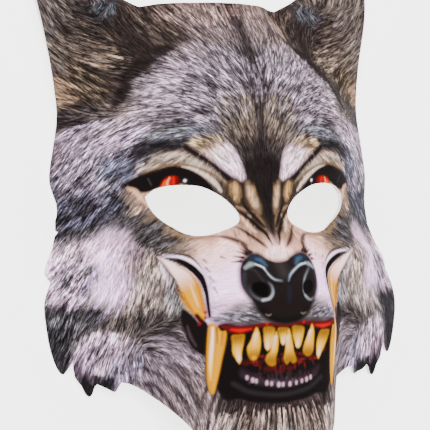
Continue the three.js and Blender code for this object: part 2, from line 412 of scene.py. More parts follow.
def hex_values(text):
    """Red, green and blue of a colour given by the usual six digits."""
    return [int(text[i:i + 2], 16) for i in (0, 2, 4)]


def linear(text):
    """The ink for such a colour."""
    return laid_ink(np.array(hex_values(text), float))


PALETTE = {  # dark to light
    "raven": "2f292d", "soot": "362a26", "char": "403232", "peat": "45362c", "bark": "4b3c37",
    "night": "463e45", "smoke": "4e4241", "umber": "584940", "walnut": "675242", "slate": "5a5358",
    "mole": "655656", "hazel": "6b5b52", "steel": "625c6c", "lead": "746a6e", "taupe": "83736c",
    "dusk": "8a7d87", "mauve": "907e7e", "tan": "a1866b", "stone": "9e8c83", "dove": "a5949e",
    "ash": "b6a5ae", "fawn": "c0a694", "mist": "b6b2b4", "blush": "d2bdb2", "pearl": "ccbec2",
    "lilac": "d0c0cd", "shell": "dfd1d1", "frost": "e2d5e0",
}
# x, y, colour, hair, reach
TONES = [
    # crown
    (0, 94, "char", 0.9, 5), (14, 93, "smoke", 0.9, 5), (28, 93, "umber", 1.01, 5), (38, 93, "bark", 1.01, 5),
    (10, 82, "mauve", 1.01, 6), (22, 83, "mauve", 1.01, 6), (12, 70, "mauve", 1.01, 6),
    (24, 70, "mauve", 1.01, 6), (34, 77, "peat", 0.9, 5), (42, 84, "soot", 0.9, 5), (40, 70, "bark", 0.9, 4),
    (30, 66, "mauve", 1.01, 4),
    # forehead
    (8, 58, "lead", 1.01, 6), (20, 56, "dusk", 1.12, 6), (32, 57, "dove", 1.01, 5), (44, 51, "ash", 0.9, 5),
    (54, 42, "ash", 0.9, 5), (40, 44, "dusk", 1.12, 6), (28, 44, "dusk", 1.12, 6), (14, 44, "dusk", 1.12, 6),
    (10, 32, "taupe", 1.01, 5), (24, 32, "dusk", 1.12, 6), (38, 33, "dusk", 1.12, 6),
    (52, 32, "dove", 1.01, 6), (64, 30, "ash", 1.08, 6), (76, 25, "ash", 1.08, 5), (87, 24, "dove", 1.08, 5),
    (12, 20, "hazel", 0.8, 4), (24, 22, "lead", 1.01, 5), (36, 22, "slate", 1.01, 5),
    (48, 21, "lead", 0.9, 5),
    # temple
    (60, 19, "dusk", 1.22, 5), (72, 16, "dove", 1.35, 6), (86, 14, "dove", 1.35, 6),
    (66, 8, "steel", 1.35, 5), (78, 5, "dusk", 1.35, 6), (90, 2, "dusk", 1.35, 6), (68, -2, "raven", 1.35, 5),
    (78, -6, "night", 1.35, 5), (89, -8, "steel", 1.35, 6), (72, -13, "raven", 1.08, 5),
    (83, -15, "raven", 1.08, 5), (91, -18, "night", 1.08, 5),
    # under the eye
    (61, -5, "fawn", 0.3, 3), (59, -11, "fawn", 0.3, 3), (53, -21, "tan", 0.4, 3), (45, -27, "tan", 0.4, 3),
    (63, -16, "slate", 1.08, 4), (56, -25, "smoke", 0.8, 4), (50, -31, "smoke", 0.8, 4),
    (43, -34, "walnut", 0.6, 3),
    # cheek
    (71, -27, "lilac", 0.5, 4), (78, -34, "frost", 0.45, 5), (74, -46, "frost", 0.45, 6),
    (78, -57, "frost", 0.45, 5), (69, -58, "lilac", 0.81, 4), (66, -40, "ash", 0.94, 4),
    (88, -30, "ash", 1.08, 4), (96, -36, "frost", 0.81, 4), (99, -43, "frost", 0.81, 4),
    (88, -44, "lead", 1.22, 4), (94, -52, "dusk", 1.22, 4), (100, -56, "lead", 1.08, 4),
    (61, -44, "stone", 1.08, 4), (57, -53, "stone", 0.7, 4), (62, -62, "stone", 1.08, 4),
    (53, -60, "stone", 0.7, 4), (51, -50, "pearl", 0.6, 3), (47, -58, "mist", 0.6, 3),
    (45, -62, "mist", 0.6, 3),
    # dark band and the cheek under it
    (52, -69, "smoke", 0.8, 4), (61, -70, "mole", 1.08, 4), (71, -69, "umber", 1.08, 4),
    (82, -65, "smoke", 1.08, 4), (92, -63, "raven", 1.08, 4), (101, -62, "raven", 1.08, 4),
    (97, -74, "raven", 1.08, 5), (99, -84, "raven", 0.94, 4), (90, -72, "slate", 1.22, 4),
    (84, -76, "pearl", 1.08, 4), (76, -79, "ash", 1.22, 5), (76, -89, "pearl", 1.08, 4),
    (85, -84, "lead", 1.22, 4), (68, -84, "dove", 1.22, 5), (63, -92, "dove", 1.22, 5),
    (89, -87, "raven", 0.94, 4), (85, -94, "raven", 0.5, 4), (80, -99, "raven", 0.5, 3),
    (73, -97, "raven", 0.81, 4), (67, -98, "dusk", 1.08, 3),
    # jaw and chin
    (58, -79, "mole", 0.9, 4), (50, -82, "dove", 0.9, 4), (46, -92, "dove", 0.9, 5),
    (54, -98, "dove", 0.9, 5), (42, -103, "mauve", 0.9, 5), (46, -114, "mauve", 0.9, 5),
    (36, -118, "mauve", 0.9, 5), (38, -130, "mauve", 0.9, 5), (0, -119, "char", 0.8, 4),
    (12, -119, "char", 0.9, 4), (24, -118, "char", 0.9, 4), (0, -129, "umber", 0.9, 6),
    (16, -130, "walnut", 0.9, 6), (28, -138, "taupe", 0.9, 6), (0, -142, "taupe", 0.9, 5),
    # muzzle
    (32, -41, "shell", 0.15, 4), (28, -50, "frost", 0.1, 6), (28, -62, "frost", 0.15, 5),
    (33, -69, "lilac", 0.4, 3), (25, -72, "dove", 0.6, 3), (16, -74.5, "lead", 0.6, 3),
    (23, -38, "shell", 0.25, 3), (40, -36, "blush", 0.4, 3), (46, -37, "stone", 0.5, 3),
    (32, -33, "blush", 0.25, 3), (12, -40, "blush", 0.2, 3), (9, -34, "fawn", 0.2, 3),
    (3, -40, "shell", 0.2, 3), (18, -30, "blush", 0.2, 3),
    # between the brows
    (6, -26, "walnut", 0.2, 3), (11, -20, "walnut", 0.3, 3), (0, -22, "peat", 0.2, 2),
    (8, -10, "peat", 0.4, 3), (15, -12, "peat", 0.3, 3), (0, -10, "soot", 0.3, 3), (0, 4, "char", 0.5, 4),
    (9, 8, "smoke", 0.7, 3), (22, -8, "umber", 0.4, 3), (28, 0, "stone", 0.5, 3), (45, 8, "fawn", 0.5, 4),
    (63, 4, "night", 0.5, 3),
    # ear
    (50, 72, "soot", 0.7, 4), (54, 82, "soot", 0.9, 4), (50, 92, "bark", 1.01, 5), (58, 93, "slate", 0.9, 4),
    (66, 95, "night", 0.8, 4), (58, 74, "bark", 1.01, 4), (66, 66, "taupe", 0.9, 4),
    (60, 60, "hazel", 0.9, 4), (55, 54, "soot", 0.9, 4), (61, 46, "soot", 0.8, 4), (74, 58, "peat", 1, 4),
    (77, 50, "peat", 1, 4), (71, 46, "peat", 1, 4), (68, 38, "hazel", 0.9, 4), (84, 52, "tan", 0.8, 4),
    (89, 48, "tan", 0.8, 4), (84, 38, "char", 0.7, 4), (90, 31, "char", 0.94, 4), (78, 33, "smoke", 1.08, 4),
    (91, 61, "mauve", 0.9, 5), (86, 70, "hazel", 0.9, 4), (78, 73, "hazel", 0.9, 4), (94, 76, "lead", 0.9, 4),
    (90, 86, "taupe", 0.9, 4), (80, 88, "bark", 0.9, 4), (74, 82, "bark", 0.9, 4), (96, 94, "mole", 0.9, 5),
    (70, 76, "bark", 0.9, 4), (62, 104, "bark", 0.9, 6), (74, 103, "umber", 0.9, 5),
    (86, 103, "taupe", 0.9, 5), (97, 106, "hazel", 0.9, 5), (70, 118, "umber", 0.9, 6),
    (82, 118, "taupe", 0.9, 6), (94, 122, "umber", 0.9, 6), (86, 134, "umber", 0.9, 6),
]


def blended(table, column, at):
    """The mean of a column's values round each place, and its share from each line of the table."""
    total, weight = 0, 0
    for line in table:
        value, reach = np.atleast_1d(column(line)), line[-1]
        far = (np.abs(at[:, 0]) - line[0]) ** 2 + (at[:, 1] - line[1]) ** 2
        w = np.exp(-far / (2 * reach ** 2)) / reach ** 2 + FAINT / (1 + far)
        total = total + w[:, None] * value
        weight = weight + w
    return total / weight[:, None]


ground = blended(TONES, lambda line: hex_values(PALETTE[line[2]]), plan)
hair = blended(TONES, lambda line: line[3], plan)[:, 0]
print("ground from", len(TONES), "dabs of", len(PALETTE), "colours")

# %% [markdown]
# Hairs grow back from the nose and out over the cheeks. The table holds arrows on one half of the face:
# a place and the angle of its hairs, anticlockwise from straight out to the side.

# %% Direction of the hairs
MEET = 4  # mm over which the two halves blend at the middle
# x, y, angle, reach
GROWTH = [
    (0, 92, 95, 8), (0, 60, 92, 8), (0, 30, 90, 6), (0, 5, 90, 6), (10, 82, 85, 7), (25, 84, 72, 7),
    (36, 88, 62, 7), (14, 62, 68, 7), (28, 64, 55, 7), (20, 46, 48, 7), (36, 48, 28, 7), (50, 44, 12, 7),
    (24, 30, 38, 7), (8, 24, 70, 5), (14, 16, 58, 5), (38, 32, 12, 7), (52, 32, -2, 7), (64, 28, -22, 7),
    (78, 24, -32, 7), (90, 24, -40, 6), (26, 18, 35, 5), (38, 20, 8, 5), (50, 20, -12, 5), (62, 14, -30, 6),
    (76, 10, -38, 7), (90, 6, -38, 7), (72, -6, -36, 7), (88, -14, -36, 7), (60, -8, -50, 4),
    (56, -24, -32, 5), (46, -33, -28, 5), (68, -24, -35, 5), (82, -30, -45, 6), (96, -34, -50, 6),
    (70, -42, -58, 6), (78, -50, -58, 6), (92, -52, -48, 6), (62, -50, -66, 5), (56, -60, -68, 5),
    (66, -66, -64, 5), (84, -66, -52, 5), (96, -68, -70, 6), (98, -82, -78, 6), (86, -78, -60, 6),
    (76, -86, -64, 6), (84, -94, -78, 5), (72, -96, -76, 5), (66, -86, -78, 5), (62, -94, -88, 5),
    (56, -80, 176, 5), (50, -84, 30, 5), (44, -90, 42, 5), (54, -94, 55, 5), (46, -104, 62, 6),
    (42, -116, 70, 6), (40, -128, 76, 6), (0, -118, -90, 6), (0, -136, -90, 8), (12, -122, -80, 6),
    (22, -120, -66, 6), (30, -122, -60, 6), (16, -136, -84, 8), (30, -136, -78, 8), (30, -45, -10, 6),
    (30, -60, 5, 6), (24, -73, 14, 5), (12, -76, 10, 5), (40, -37, -30, 5), (10, -30, 100, 5), (22, 8, 50, 4),
    (30, 2, 120, 4), (46, 8, 150, 5), (60, 4, -30, 4), (50, 76, 62, 6), (52, 90, 66, 6), (60, 96, 140, 5),
    (66, 66, 14, 6), (60, 56, 24, 5), (74, 54, 48, 6), (70, 42, 38, 6), (84, 54, 36, 6), (88, 36, 20, 6),
    (90, 68, 42, 6), (80, 76, 30, 6), (90, 88, 60, 6), (76, 88, 20, 6), (84, 104, 68, 8), (72, 108, 76, 8),
    (96, 106, 82, 8), (84, 124, 78, 10),
]


def doubled(angle):
    """A direction without a sense, as its doubled angle, so that a mean of two makes sense."""
    return math.cos(math.radians(2 * angle)), math.sin(math.radians(2 * angle))


def growth_at(at):
    """Doubled directions of the hairs at points of the plan."""
    flow = blended(GROWTH, lambda line: doubled(line[2]), at)
    flow = flow / np.linalg.norm(flow, axis=1)[:, None]
    blend = np.clip(at[:, :1] / MEET, -1, 1)  # the halves mirror each other
    return np.column_stack([flow[:, 0], flow[:, 1] * blend[:, 0]])


across, along = np.meshgrid(xs, ys)
growth = growth_at(np.column_stack([across.ravel(), along.ravel()])).reshape(*across.shape, 2)


def heading(at):
    """Unit directions of the hairs at points of the plan, each with either sense."""
    i = np.clip(np.rint((at[:, 0] - xs[0]) / GRID).astype(int), 0, len(xs) - 1)
    j = np.clip(np.rint((at[:, 1] - ys[0]) / GRID).astype(int), 0, len(ys) - 1)
    angle = np.arctan2(growth[j, i, 1], growth[j, i, 0]) / 2
    return np.column_stack([np.cos(angle), np.sin(angle)])


print("growth from", len(GROWTH), "arrows")

# %% [markdown]
# Fur never lies evenly: locks of it catch the light and leave dark gaps. Random spots drawn out along
# the hairs give that. Each place takes the mean of the spots along its own hair, so the locks bend with
# the fur. A fixed start for the random numbers gives the same fur each time.

# %% Locks of hair
chance = np.random.default_rng(7)
TILE = 256  # random values to each side of a table
NARROW, WIDE = (2.0, 14), (4.5, 18)  # width and length of the locks, mm
CONTRAST = 0.5  # stops of light between a lock and its ground
DARKEST, LIGHTEST = -1.6, 1.3  # stops, at most


def eased(t):
    """0 to 1 with a soft start and end."""
    return t * t * (3 - 2 * t)


def mottle(at, size, table):
    """Soft random spots of about the given size, from -1 to 1."""
    q = at / size
    i = np.floor(q).astype(int)
    t = eased(q - i)
    v = [[table[(i[:, 0] + a) % TILE, (i[:, 1] + b) % TILE] for b in (0, 1)] for a in (0, 1)]
    return ((v[0][0] * (1 - t[:, 0]) + v[1][0] * t[:, 0]) * (1 - t[:, 1])
            + (v[0][1] * (1 - t[:, 0]) + v[1][1] * t[:, 0]) * t[:, 1])


def combed(size, length):
    """Random spots drawn out along the hairs: each place takes the mean along its hair."""
    table = chance.uniform(-1, 1, (TILE, TILE))
    step = size / 2
    total = mottle(plan, size, table)
    for sense in (1, -1):
        at, last = plan.copy(), sense * heading(plan)
        for _ in range(int(length / step / 2)):
            at = at + step * last
            total = total + mottle(at, size, table)
            turn = heading(at)
            last = turn * np.sign((turn * last).sum(1))[:, None]
    return total / total.std()


locks = 0.6 * combed(*NARROW) + 0.45 * combed(*WIDE)
shade = 2 ** np.clip(CONTRAST * hair * locks, DARKEST, LIGHTEST)
ink = np.minimum(laid_ink(ground) * shade[:, None], FULL)
print("locks combed over", count, "corners")

# %% [markdown]
# The features go over the coat like strokes of a brush. A stroke follows a smooth line with its own
# widths, and a patch fills a closed line. Both measure distances on the curved face. Places are given in
# millimetres for the half with x above 0, and unless told otherwise both are painted on each half.

# %% Brushes
MUZZLE_AT = (0, -40)  # hairs point away from here
BENDS = 5  # straight pieces of a single hair
SHORTEST, LONGEST = 0.6, 1.2  # lengths of single hairs, as shares of the length given
TIP = 4  # a hair ends this much thinner


def smoothed(line, closed=False, between=6):
    """A smooth line through the points."""
    line = np.asarray(line, float)
    if closed:
        line = np.vstack([line[-1], line, line[:2]])
    else:
        line = np.vstack([2 * line[0] - line[1], line, 2 * line[-1] - line[-2]])
    t = np.linspace(0, 1, between, endpoint=False)[:, None]
    parts = [q + t * (r - p) / 2 + t ** 2 * (2 * p - 5 * q + 4 * r - s) / 2
             + t ** 3 * (3 * q - p - 3 * r + s) / 2
             for p, q, r, s in zip(line, line[1:], line[2:], line[3:])]
    return np.vstack(parts if closed else [*parts, line[-2][None]])


order = np.argsort(plan[:, 1], kind="stable")
sorted_y = plan[order, 1]


def close_to(low, high):
    """Corners of the front within a box of the plan."""
    strip = order[np.searchsorted(sorted_y, low[1]):np.searchsorted(sorted_y, high[1])]
    return strip[(plan[strip, 0] > low[0]) & (plan[strip, 0] < high[0])]


def distances(line, widths, margin):
    """For the corners near a line: how far they lie outside its width, and how far along it they are."""
    wide = widths.max() / 2 + margin
    near = close_to(line.min(0) - wide, line.max(0) + wide)
    best = np.full(len(near), np.inf)
    share = np.zeros(len(near))
    ends = lifted(line)
    for k in range(len(line) - 1):
        run = ends[k + 1] - ends[k]
        t = np.clip((front[near] - ends[k]) @ run / max(run @ run, 1e-9), 0, 1)
        gap = np.linalg.norm(front[near] - ends[k] - t[:, None] * run, axis=1)
        gap = gap - (widths[k] + t * (widths[k + 1] - widths[k])) / 2
        closer = gap < best
        best[closer] = gap[closer]
        share[closer] = (k + t[closer]) / (len(line) - 1)
    return near, best, share


marks = []  # how many corners each stroke reached


def cover(gap, soft):
    """How much of a mark lies on corners at a distance from its edge."""
    return np.clip(0.5 - gap / (2 * soft), 0, 1)


def lay(near, amount, colour, fur):
    """Mixes a mark into the ink."""
    marks.append(len(near))
    amount = amount[:, None]
    ink[near] = ink[near] * (1 - amount) + colour * amount
    if fur is not None:
        hair[near] = hair[near] * (1 - amount[:, 0]) + fur * amount[:, 0]


def tell(what):
    """Says how many marks a feature took."""
    print(what, "took", len(marks), "marks")
    marks.clear()


def halves(points, mirror):
    """The points, and if wanted their mirror image."""
    points = np.asarray(points, float)
    return (points, points * (-1, 1)) if mirror else (points,)


def stroke(points, width, colour, to=None, soft=0.5, strength=1.0, fur=0.0, mirror=True):
    """A line with its widths. With to, its colour changes from its start to its end."""
    for line in halves(points, mirror):
        line = smoothed(line)
        widths = np.interp(np.linspace(0, 1, len(line)), np.linspace(0, 1, np.size(width)),
                           np.atleast_1d(width))
        near, gap, share = distances(line, widths, 2 * soft)
        end = linear(to or colour)
        tone = linear(colour) + share[:, None] * (end - linear(colour))
        lay(near, strength * cover(gap, soft), tone, fur)


def patch(points, colour, to=None, along=None, soft=0.5, strength=1.0, fur=0.0, mirror=True):
    """A filled ring. With to and along, its colour changes from one end of a line to the other."""
    for half, line in enumerate(halves(points, mirror)):
        ring = smoothed(line, closed=True)
        closed = np.vstack([ring, ring[:1]])
        near, gap, _ = distances(closed, np.zeros(len(closed)), 2 * soft)
        inside = crossings(plan[near], ring, closed[1:])
        gap = np.where(inside, -gap, gap)
        tone = linear(colour)
        if to:
            a, b = (np.array(p, float) * (-1 if half else 1, 1) for p in along)
            share = np.clip((plan[near] - a) @ (b - a) / ((b - a) @ (b - a)), 0, 1)[:, None]
            tone = tone + eased(share) * (linear(to) - tone)
        lay(near, strength * cover(gap, soft), tone, fur)


def dots(places, size, colour, soft=0.6, strength=1.0, mirror=True):
    """Round spots."""
    for x, y in places:
        stroke([(x - 0.1, y), (x + 0.1, y)], size, colour, soft=soft, strength=strength, mirror=mirror)


def hairs(middle, size, number, length, width, colours, strength=0.8, mirror=True, fur=None):
    """Single hairs that start at random within an ellipse and follow the growth, tapering to a point."""
    for _ in range(number):
        turn, far = chance.uniform(0, 2 * math.pi), math.sqrt(chance.uniform(0, 1))
        spot = np.array(middle) + far * np.array(size) * (math.cos(turn), math.sin(turn))
        long = length * chance.uniform(SHORTEST, LONGEST)
        tone = colours[chance.integers(len(colours))]
        for at in halves(spot, mirror):
            outwards = at - MUZZLE_AT
            line, way = [at], heading(at[None])[0]
            way = way if way @ outwards > 0 else -way
            for _ in range(BENDS):
                line.append(line[-1] + way * long / BENDS)
                ahead = heading(line[-1][None])[0]
                way = ahead if ahead @ way > 0 else -ahead
            line = np.array(line)
            near, gap, share = distances(line, np.linspace(width, width / TIP, len(line)), 1)
            lay(near, strength * cover(gap, 0.5) * (1 - share ** 3), linear(tone), fur)


print("front corners:", len(order))

# %% [markdown]
# A dark stripe runs from the crown between the eyes. The ears are dark inside, with long pale strands
# over them, and a black shadow lies under each. Broad soft strokes go on first and single hairs over
# them, as a painter would work. A stroke's fur value says how much the fine streaks show through it.

# %% Fur of the crown, ears and forehead
STRIPE = "34292b"
stroke([(0, 95), (0.3, 79), (-0.2, 66), (-0.3, 55), (0, 45), (0.2, 35), (0.7, 26), (1, 17), (1, 6)],
       [8, 8, 7.5, 6.5, 6, 5.5, 5, 5.5, 9], STRIPE, soft=2.6, strength=0.85, fur=0.5, mirror=False)
patch([(1, 18), (5.2, 13), (9.6, 9.5), (13, 5), (12, -2), (9, -8), (5, -16), (3, -26), (0.5, -38),
       (-1.5, -26), (-3.5, -16), (-7, -8), (-10, -2), (-10, 5), (-6, 10), (-2, 14)], "34292a", soft=2.6,
      strength=0.7, fur=0.7, mirror=False)
patch([(1, 8), (5, 7.4), (9, 6), (13, 3), (12, -2), (9, -8), (5, -16), (3, -26), (0.5, -38), (-1.5, -26),
       (-3.5, -16), (-7, -8), (-10, -2), (-10.4, 3), (-6.6, 6.4), (-3, 7.6)], "201818", soft=2, strength=0.9,
      fur=0.3, mirror=False)
hairs((4, 60), (5, 34), 60, 11, 1.1, [STRIPE, "473b3d"], 0.7)
hairs((16, 84), (16, 10), 130, 10, 0.7, ["302625", "c2afaa", "4c3e3c", "c2afaa"], 0.6)
stroke([(45, 62), (49, 70), (51, 80), (53, 90), (53.5, 97)], [3, 6, 5, 4, 3], "2b211f", soft=2, strength=0.8,
       fur=0.6)
patch([(43, 89), (38.3, 85), (34.7, 81), (31, 78), (27.6, 73.5), (28, 69.4), (34, 68), (42, 66), (45, 72),
       (44.5, 81)], "372b27", soft=2.5, strength=0.75, fur=0.7)
hairs((37, 78), (8, 10), 40, 9, 1.2, ["2c231f", "8d7c72", "241b19"], 0.8)
EAR_SHADOW = [(34.5, 66.5), (41.5, 61.5), (48, 57.5), (54, 53.2), (58, 48), (60, 43.8), (65, 38.5), (68, 38),
              (63, 48), (60, 54), (54, 60), (48, 66), (40, 69)]
patch(EAR_SHADOW, "261d1b", soft=1.2, strength=0.9, fur=0.5)
hairs((50, 58), (12, 6), 30, 8, 1.3, ["1e1615", "342926"], 0.8)
# painted shade over the left ear, which lay in less light than the right one
patch([(-56, 52), (-74, 42), (-90, 52), (-96, 80), (-88, 112), (-70, 124), (-58, 100), (-54, 76)], "1d1612",
      soft=7, strength=0.45, fur=1, mirror=False)
hairs((64, 66), (9, 7), 70, 14, 0.7, ["beafa3", "97897a", "241c19", "cabcb0", "241c19"], 0.75)
hairs((74, 52), (7, 10), 90, 13, 0.8, ["201915", "2c231e", "9b8b76"], 0.8)
hairs((70, 76), (12, 10), 90, 11, 0.8, ["241c1a", "9a8b82", "4c403b"], 0.75)
hairs((88, 66), (7, 12), 60, 12, 1.4, ["a3958b", "3c322e", "7e7167"], 0.6)
hairs((86, 48), (7, 7), 40, 10, 1.4, ["bda894", "4f3f38", "988471"], 0.55)
hairs((80, 34), (10, 5), 40, 9, 1.4, ["2c2326", "5f5251"], 0.75)
hairs((80, 104), (18, 18), 190, 15, 0.9, ["2a2421", "8f837d", "473c39", "ab9f98"], 0.65)
hairs((86, 90), (8, 7), 30, 10, 1.4, ["a39894", "3c3330"], 0.6)
hairs((60, 92), (6, 4), 24, 9, 1.4, ["575b63", "26242a", "7f858d"], 0.6)
tell("crown and ears")

# %% [markdown]
# The forehead has short flecks, the cheeks long wisps that end in dark points. The hairs are strewn at
# random within ellipses and follow the growth, so only their place, length and colours are given. The two
# sides differ a little, since the print isn't a perfect mirror image. The left ear, temple and cheek also get
# painted shade, because that side lay in less light.

# %% Short hairs of the forehead, longer ones on the temples and cheeks
hairs((26, 44), (28, 22), 520, 4.5, 0.7, ["4b424c", "3e373d", "c2b9c2", "d2c9d2"], 0.5)
hairs((48, 44), (10, 8), 60, 5, 1.2, ["cfc6cb", "807880"], 0.45)
patch(EAR_SHADOW, "261d1b", soft=1.4, strength=0.75, fur=0.6)
hairs((72, 24), (18, 8), 130, 7, 0.9, ["d8cdd8", "575160", "c2b6c4"], 0.6)
hairs((74, 6), (18, 12), 220, 7, 1.1, ["27242c", "c6bdc8", "1f1c24", "a298a5"], 0.7)
hairs((78, -10), (15, 8), 90, 7, 1.5, ["27242c", "8f8b9f", "312e39"], 0.7)
hairs((66, 8), (7, 8), 50, 7, 1.4, ["7f859b", "1e1d26", "a1a6b7"], 0.5)
hairs((44, 21), (18, 3.5), 60, 7, 1.3, ["b0afb8", "35363b", "85878e"], 0.55)
hairs((12, 26), (10, 12), 110, 8, 0.9, ["3e3432", "aa9c8d", "92877e"], 0.45)
hairs((53, -28), (9, 8), 70, 8, 1.2, ["2b2829", "8e8a8e", "3c3638"], 0.7)
hairs((90, -46), (9, 12), 130, 9, 1.1, ["39343b", "dcd0da", "2b282e"], 0.75)
hairs((75, -45), (9, 16), 70, 12, 0.7, ["ddd1e1", "a398ac", "e0d6e5", "8e8396"], 0.55)
hairs((60, -54), (7, 14), 80, 10, 1.3, ["706664", "d3cbc8", "857b76"], 0.6)
hairs((49, -55), (4, 8), 40, 6, 0.6, ["d6cfd2", "56535b"], 0.6)
hairs((60, -69), (14, 5), 70, 9, 1.4, ["2c2728", "3b3333", "8d837f"], 0.75)
hairs((90, -65), (13, 5), 60, 9, 1.5, ["242126", "2c2a2e", "7a767b"], 0.75)
hairs((97, -76), (6, 9), 40, 11, 1.4, ["201c22", "605b61", "2b282d"], 0.7)
hairs((80, -81), (10, 9), 150, 10, 0.8, ["d6cad4", "4e474d", "ddd1db", "2b282c"], 0.7)
hairs((66, -88), (8, 8), 70, 10, 1.3, ["6d6470", "cfc8d4", "574f59"], 0.6)
hairs((80, -96), (9, 4), 40, 6, 1.5, ["1e1b1f", "302e32"], 0.8)

patch([(56, -60), (68, -58.5), (80, -58), (83, -63), (72, -67.5), (58, -66)], "a59a97", soft=3.5,
      strength=0.75, fur=0.6, mirror=False)
hairs((70, -62), (13, 5), 60, 9, 1.1, ["c6bcba", "7b7070", "dcd5d5"], 0.5, mirror=False)
patch([(87, -60), (96, -57), (101, -62), (101, -80), (97, -90), (92, -82), (89, -70)], "262227", soft=3,
      strength=0.75, fur=0.6, mirror=False)
hairs((31, 80), (5, 9), 60, 9, 0.9, ["b8a599", "c6b5ac", "8a7a72"], 0.5, mirror=False)
LEFT_SIDE_PAINTED_SHADE = [  # painted shade: ear, temple and cheek of the left side, which lay in less light, and how much darker they are than on the right
    ([(-58, 50), (-74, 42), (-90, 52), (-96, 80), (-88, 112), (-70, 124), (-60, 100), (-56, 76)], 0.2),
    ([(-60, 38), (-86, 30), (-99, 4), (-101, -38), (-92, -50), (-86, -30), (-74, -12), (-60, 2)], 0.14),
    ([(-58, -46), (-66, -62), (-58, -82), (-46, -78), (-44, -60), (-49, -48)], 0.1),
]
# each ring is painted shade over the less lit left side, not part of the print
for ring, amount in LEFT_SIDE_PAINTED_SHADE:
    patch(ring, "1f1a1f", soft=8, strength=amount, fur=1, mirror=False)
tell("short and long hairs")

# %% [markdown]
# Where the cheek meets the jaw the fur curls inwards. Pairs of curved strokes, dark with a light one
# beside, show each lock as a rounded thing. The chin has fine straight hairs that fall from the lip.

# %% Jaw and chin
patch([(66, -67), (57, -67), (50, -70), (50, -76), (58, -77), (66, -74)], "41383a", soft=3, strength=0.6,
      fur=0.8)
stroke([(89, -83), (88, -90), (84.6, -97)], [3, 5, 5], "1e1b1f", soft=1.8, strength=0.85, fur=0.5)
stroke([(86, -99), (79, -98), (72, -98)], [4, 3.4, 4], "1e1b1f", soft=1.6, strength=0.8, fur=0.5)
SWIRLS = [
    [(62, -79), (54, -79), (46, -84.6), (41.5, -90), (38, -93)],
    [(66, -85), (59, -83), (50.5, -88.4), (44.6, -95.4), (39.4, -103)],
    [(66, -92), (59, -91.5), (51.6, -96.3), (46, -105), (42.5, -114), (39.4, -122)],
    [(60, -98), (53, -101), (48, -109), (44.5, -118)],
    [(60, -75.5), (52, -76.5), (46, -80), (42, -85)],
    [(56, -89), (49, -93), (43.5, -101), (40, -109), (38, -118)],
]
for line in SWIRLS:
    stroke(line, [0.6, 2.4, 2.8, 0.8], "41373a", soft=0.9, strength=0.85, fur=0.5)
    beside = [(x + 1.4, y - 2.4) for x, y in line]
    stroke(beside, [0.4, 1.8, 2, 0.6], "b3a7af", soft=0.9, strength=0.75, fur=0.5)
hairs((50, -98), (10, 18), 110, 11, 0.5, ["4e4346", "c3b8c0", "3e3438"], 0.6)
hairs((18, -130), (28, 10), 300, 13, 0.4, ["302726", "b5aaa6", "342b2a", "978b86"], 0.65)
hairs((34, -124), (8, 10), 60, 12, 1.2, ["4d4244", "cbc1c1"], 0.65)
hairs((14, -119.5), (22, 4), 120, 14, 0.3, ["d4cac6", "201818", "251d1c", "302626"], 0.7)
tell("jaw and chin")

# %% [markdown]
# Two pale pads of fur above the eyes are drawn down in a frown. Under each pad lies a black fold, a
# furry lid and an ochre rim. They overlap like roof tiles, so the upper ones are painted first and the
# black rim of the eye last.

# %% Brow
patch([(36.2, 16.1), (30.8, 17.1), (21.4, 15.6), (16.2, 12.4), (12.7, 6.7), (10.9, -0.3), (10.3, -4.2),
       (13, -3.9), (19.4, 0), (25.5, 4.6), (31.2, 9.9), (36.3, 13.3)], "bead94", to="d8ccd2",
      along=((31, 15), (20, 6)), soft=1.3, fur=0.6)
hairs((27, 14), (9, 3), 120, 5, 0.4, ["2c2220", "3c302b", "8f7c67", "dbd0bf"], 0.7)
hairs((20, 7), (5, 4), 26, 5, 0.7, ["b7a897", "f0e9ee", "9a8a80"], 0.5)
stroke([(64, 4), (60.7, 10.3), (56.6, 14.2), (51.5, 15.2), (44.6, 15), (38.6, 12.9), (32.7, 8.3), (26, 3.4),
        (19, -3)], [1.5, 4, 6, 6.4, 5.2, 3.4, 2.2, 1.7, 1.4], "211a1c", soft=2, strength=0.95, fur=0.4)
hairs((50, 15), (14, 3), 70, 6, 1, ["181213", "2b2629", "4e5059"], 0.75)
CREASE = [(38.6, 12.9), (32.7, 8.3), (26, 3.4), (19, -3), (14, -6)]
stroke(CREASE, [2, 1.8, 1.6, 1.6, 1.4], "1e1618", soft=0.7)
patch([(60, 3.6), (54.5, 8), (49.3, 10.8), (43.9, 11), (37.8, 9.2), (31.7, 4.9), (26, 0.4), (20, -5),
       (25.5, -1.6), (33, 2.4), (40, 4.6), (47, 5.4), (54.5, 4.3)], "c6bbb3", soft=0.7, fur=0.5)
hairs((45, 7.5), (13, 2.4), 80, 5, 0.7, ["d9d0c8", "3e342e", "5b4d43", "3e342e"], 0.55)
hairs((28, 1), (6, 4), 30, 5, 0.4, ["c9bfb5", "3e332c"], 0.5)
stroke(CREASE, [1.8, 1.7, 1.6, 1.5, 1.2], "1e1618", soft=0.7)
stroke([(58.5, 1.9), (52.5, 4.4), (46.8, 5.4), (39.6, 4.8), (32.8, 2.3), (25.5, -1.2), (19.5, -6)],
       [0.6, 1, 1.1, 1.2, 1.2, 1.2, 0.8], "8e6e3f", soft=0.6)
stroke([(60, 0.6), (53, 3), (46.8, 4.2), (40, 3.6), (34, 1), (28, -3.2), (22, -8.2)],
       [1, 1.2, 1.1, 1.1, 1.1, 1.2, 1], "1e1516")
stroke([(41, 3.9), (35.6, 2.3), (29.8, -1.2), (25.2, -5), (22, -9)], [0.6, 1.6, 2.2, 2.2, 1.2], "d2cac4",
       fur=0.3)
patch([(65, -1.5), (60.6, 1.4), (54, 2.6), (47, 4.3), (40, 3.5), (33.8, 0.3), (29, -3.8), (25.4, -8.4),
       (21.5, -15), (22, -18), (28, -12), (36, -6), (46, -3.4), (56, -6.5), (63, -4)], "181112")
tell("brow")

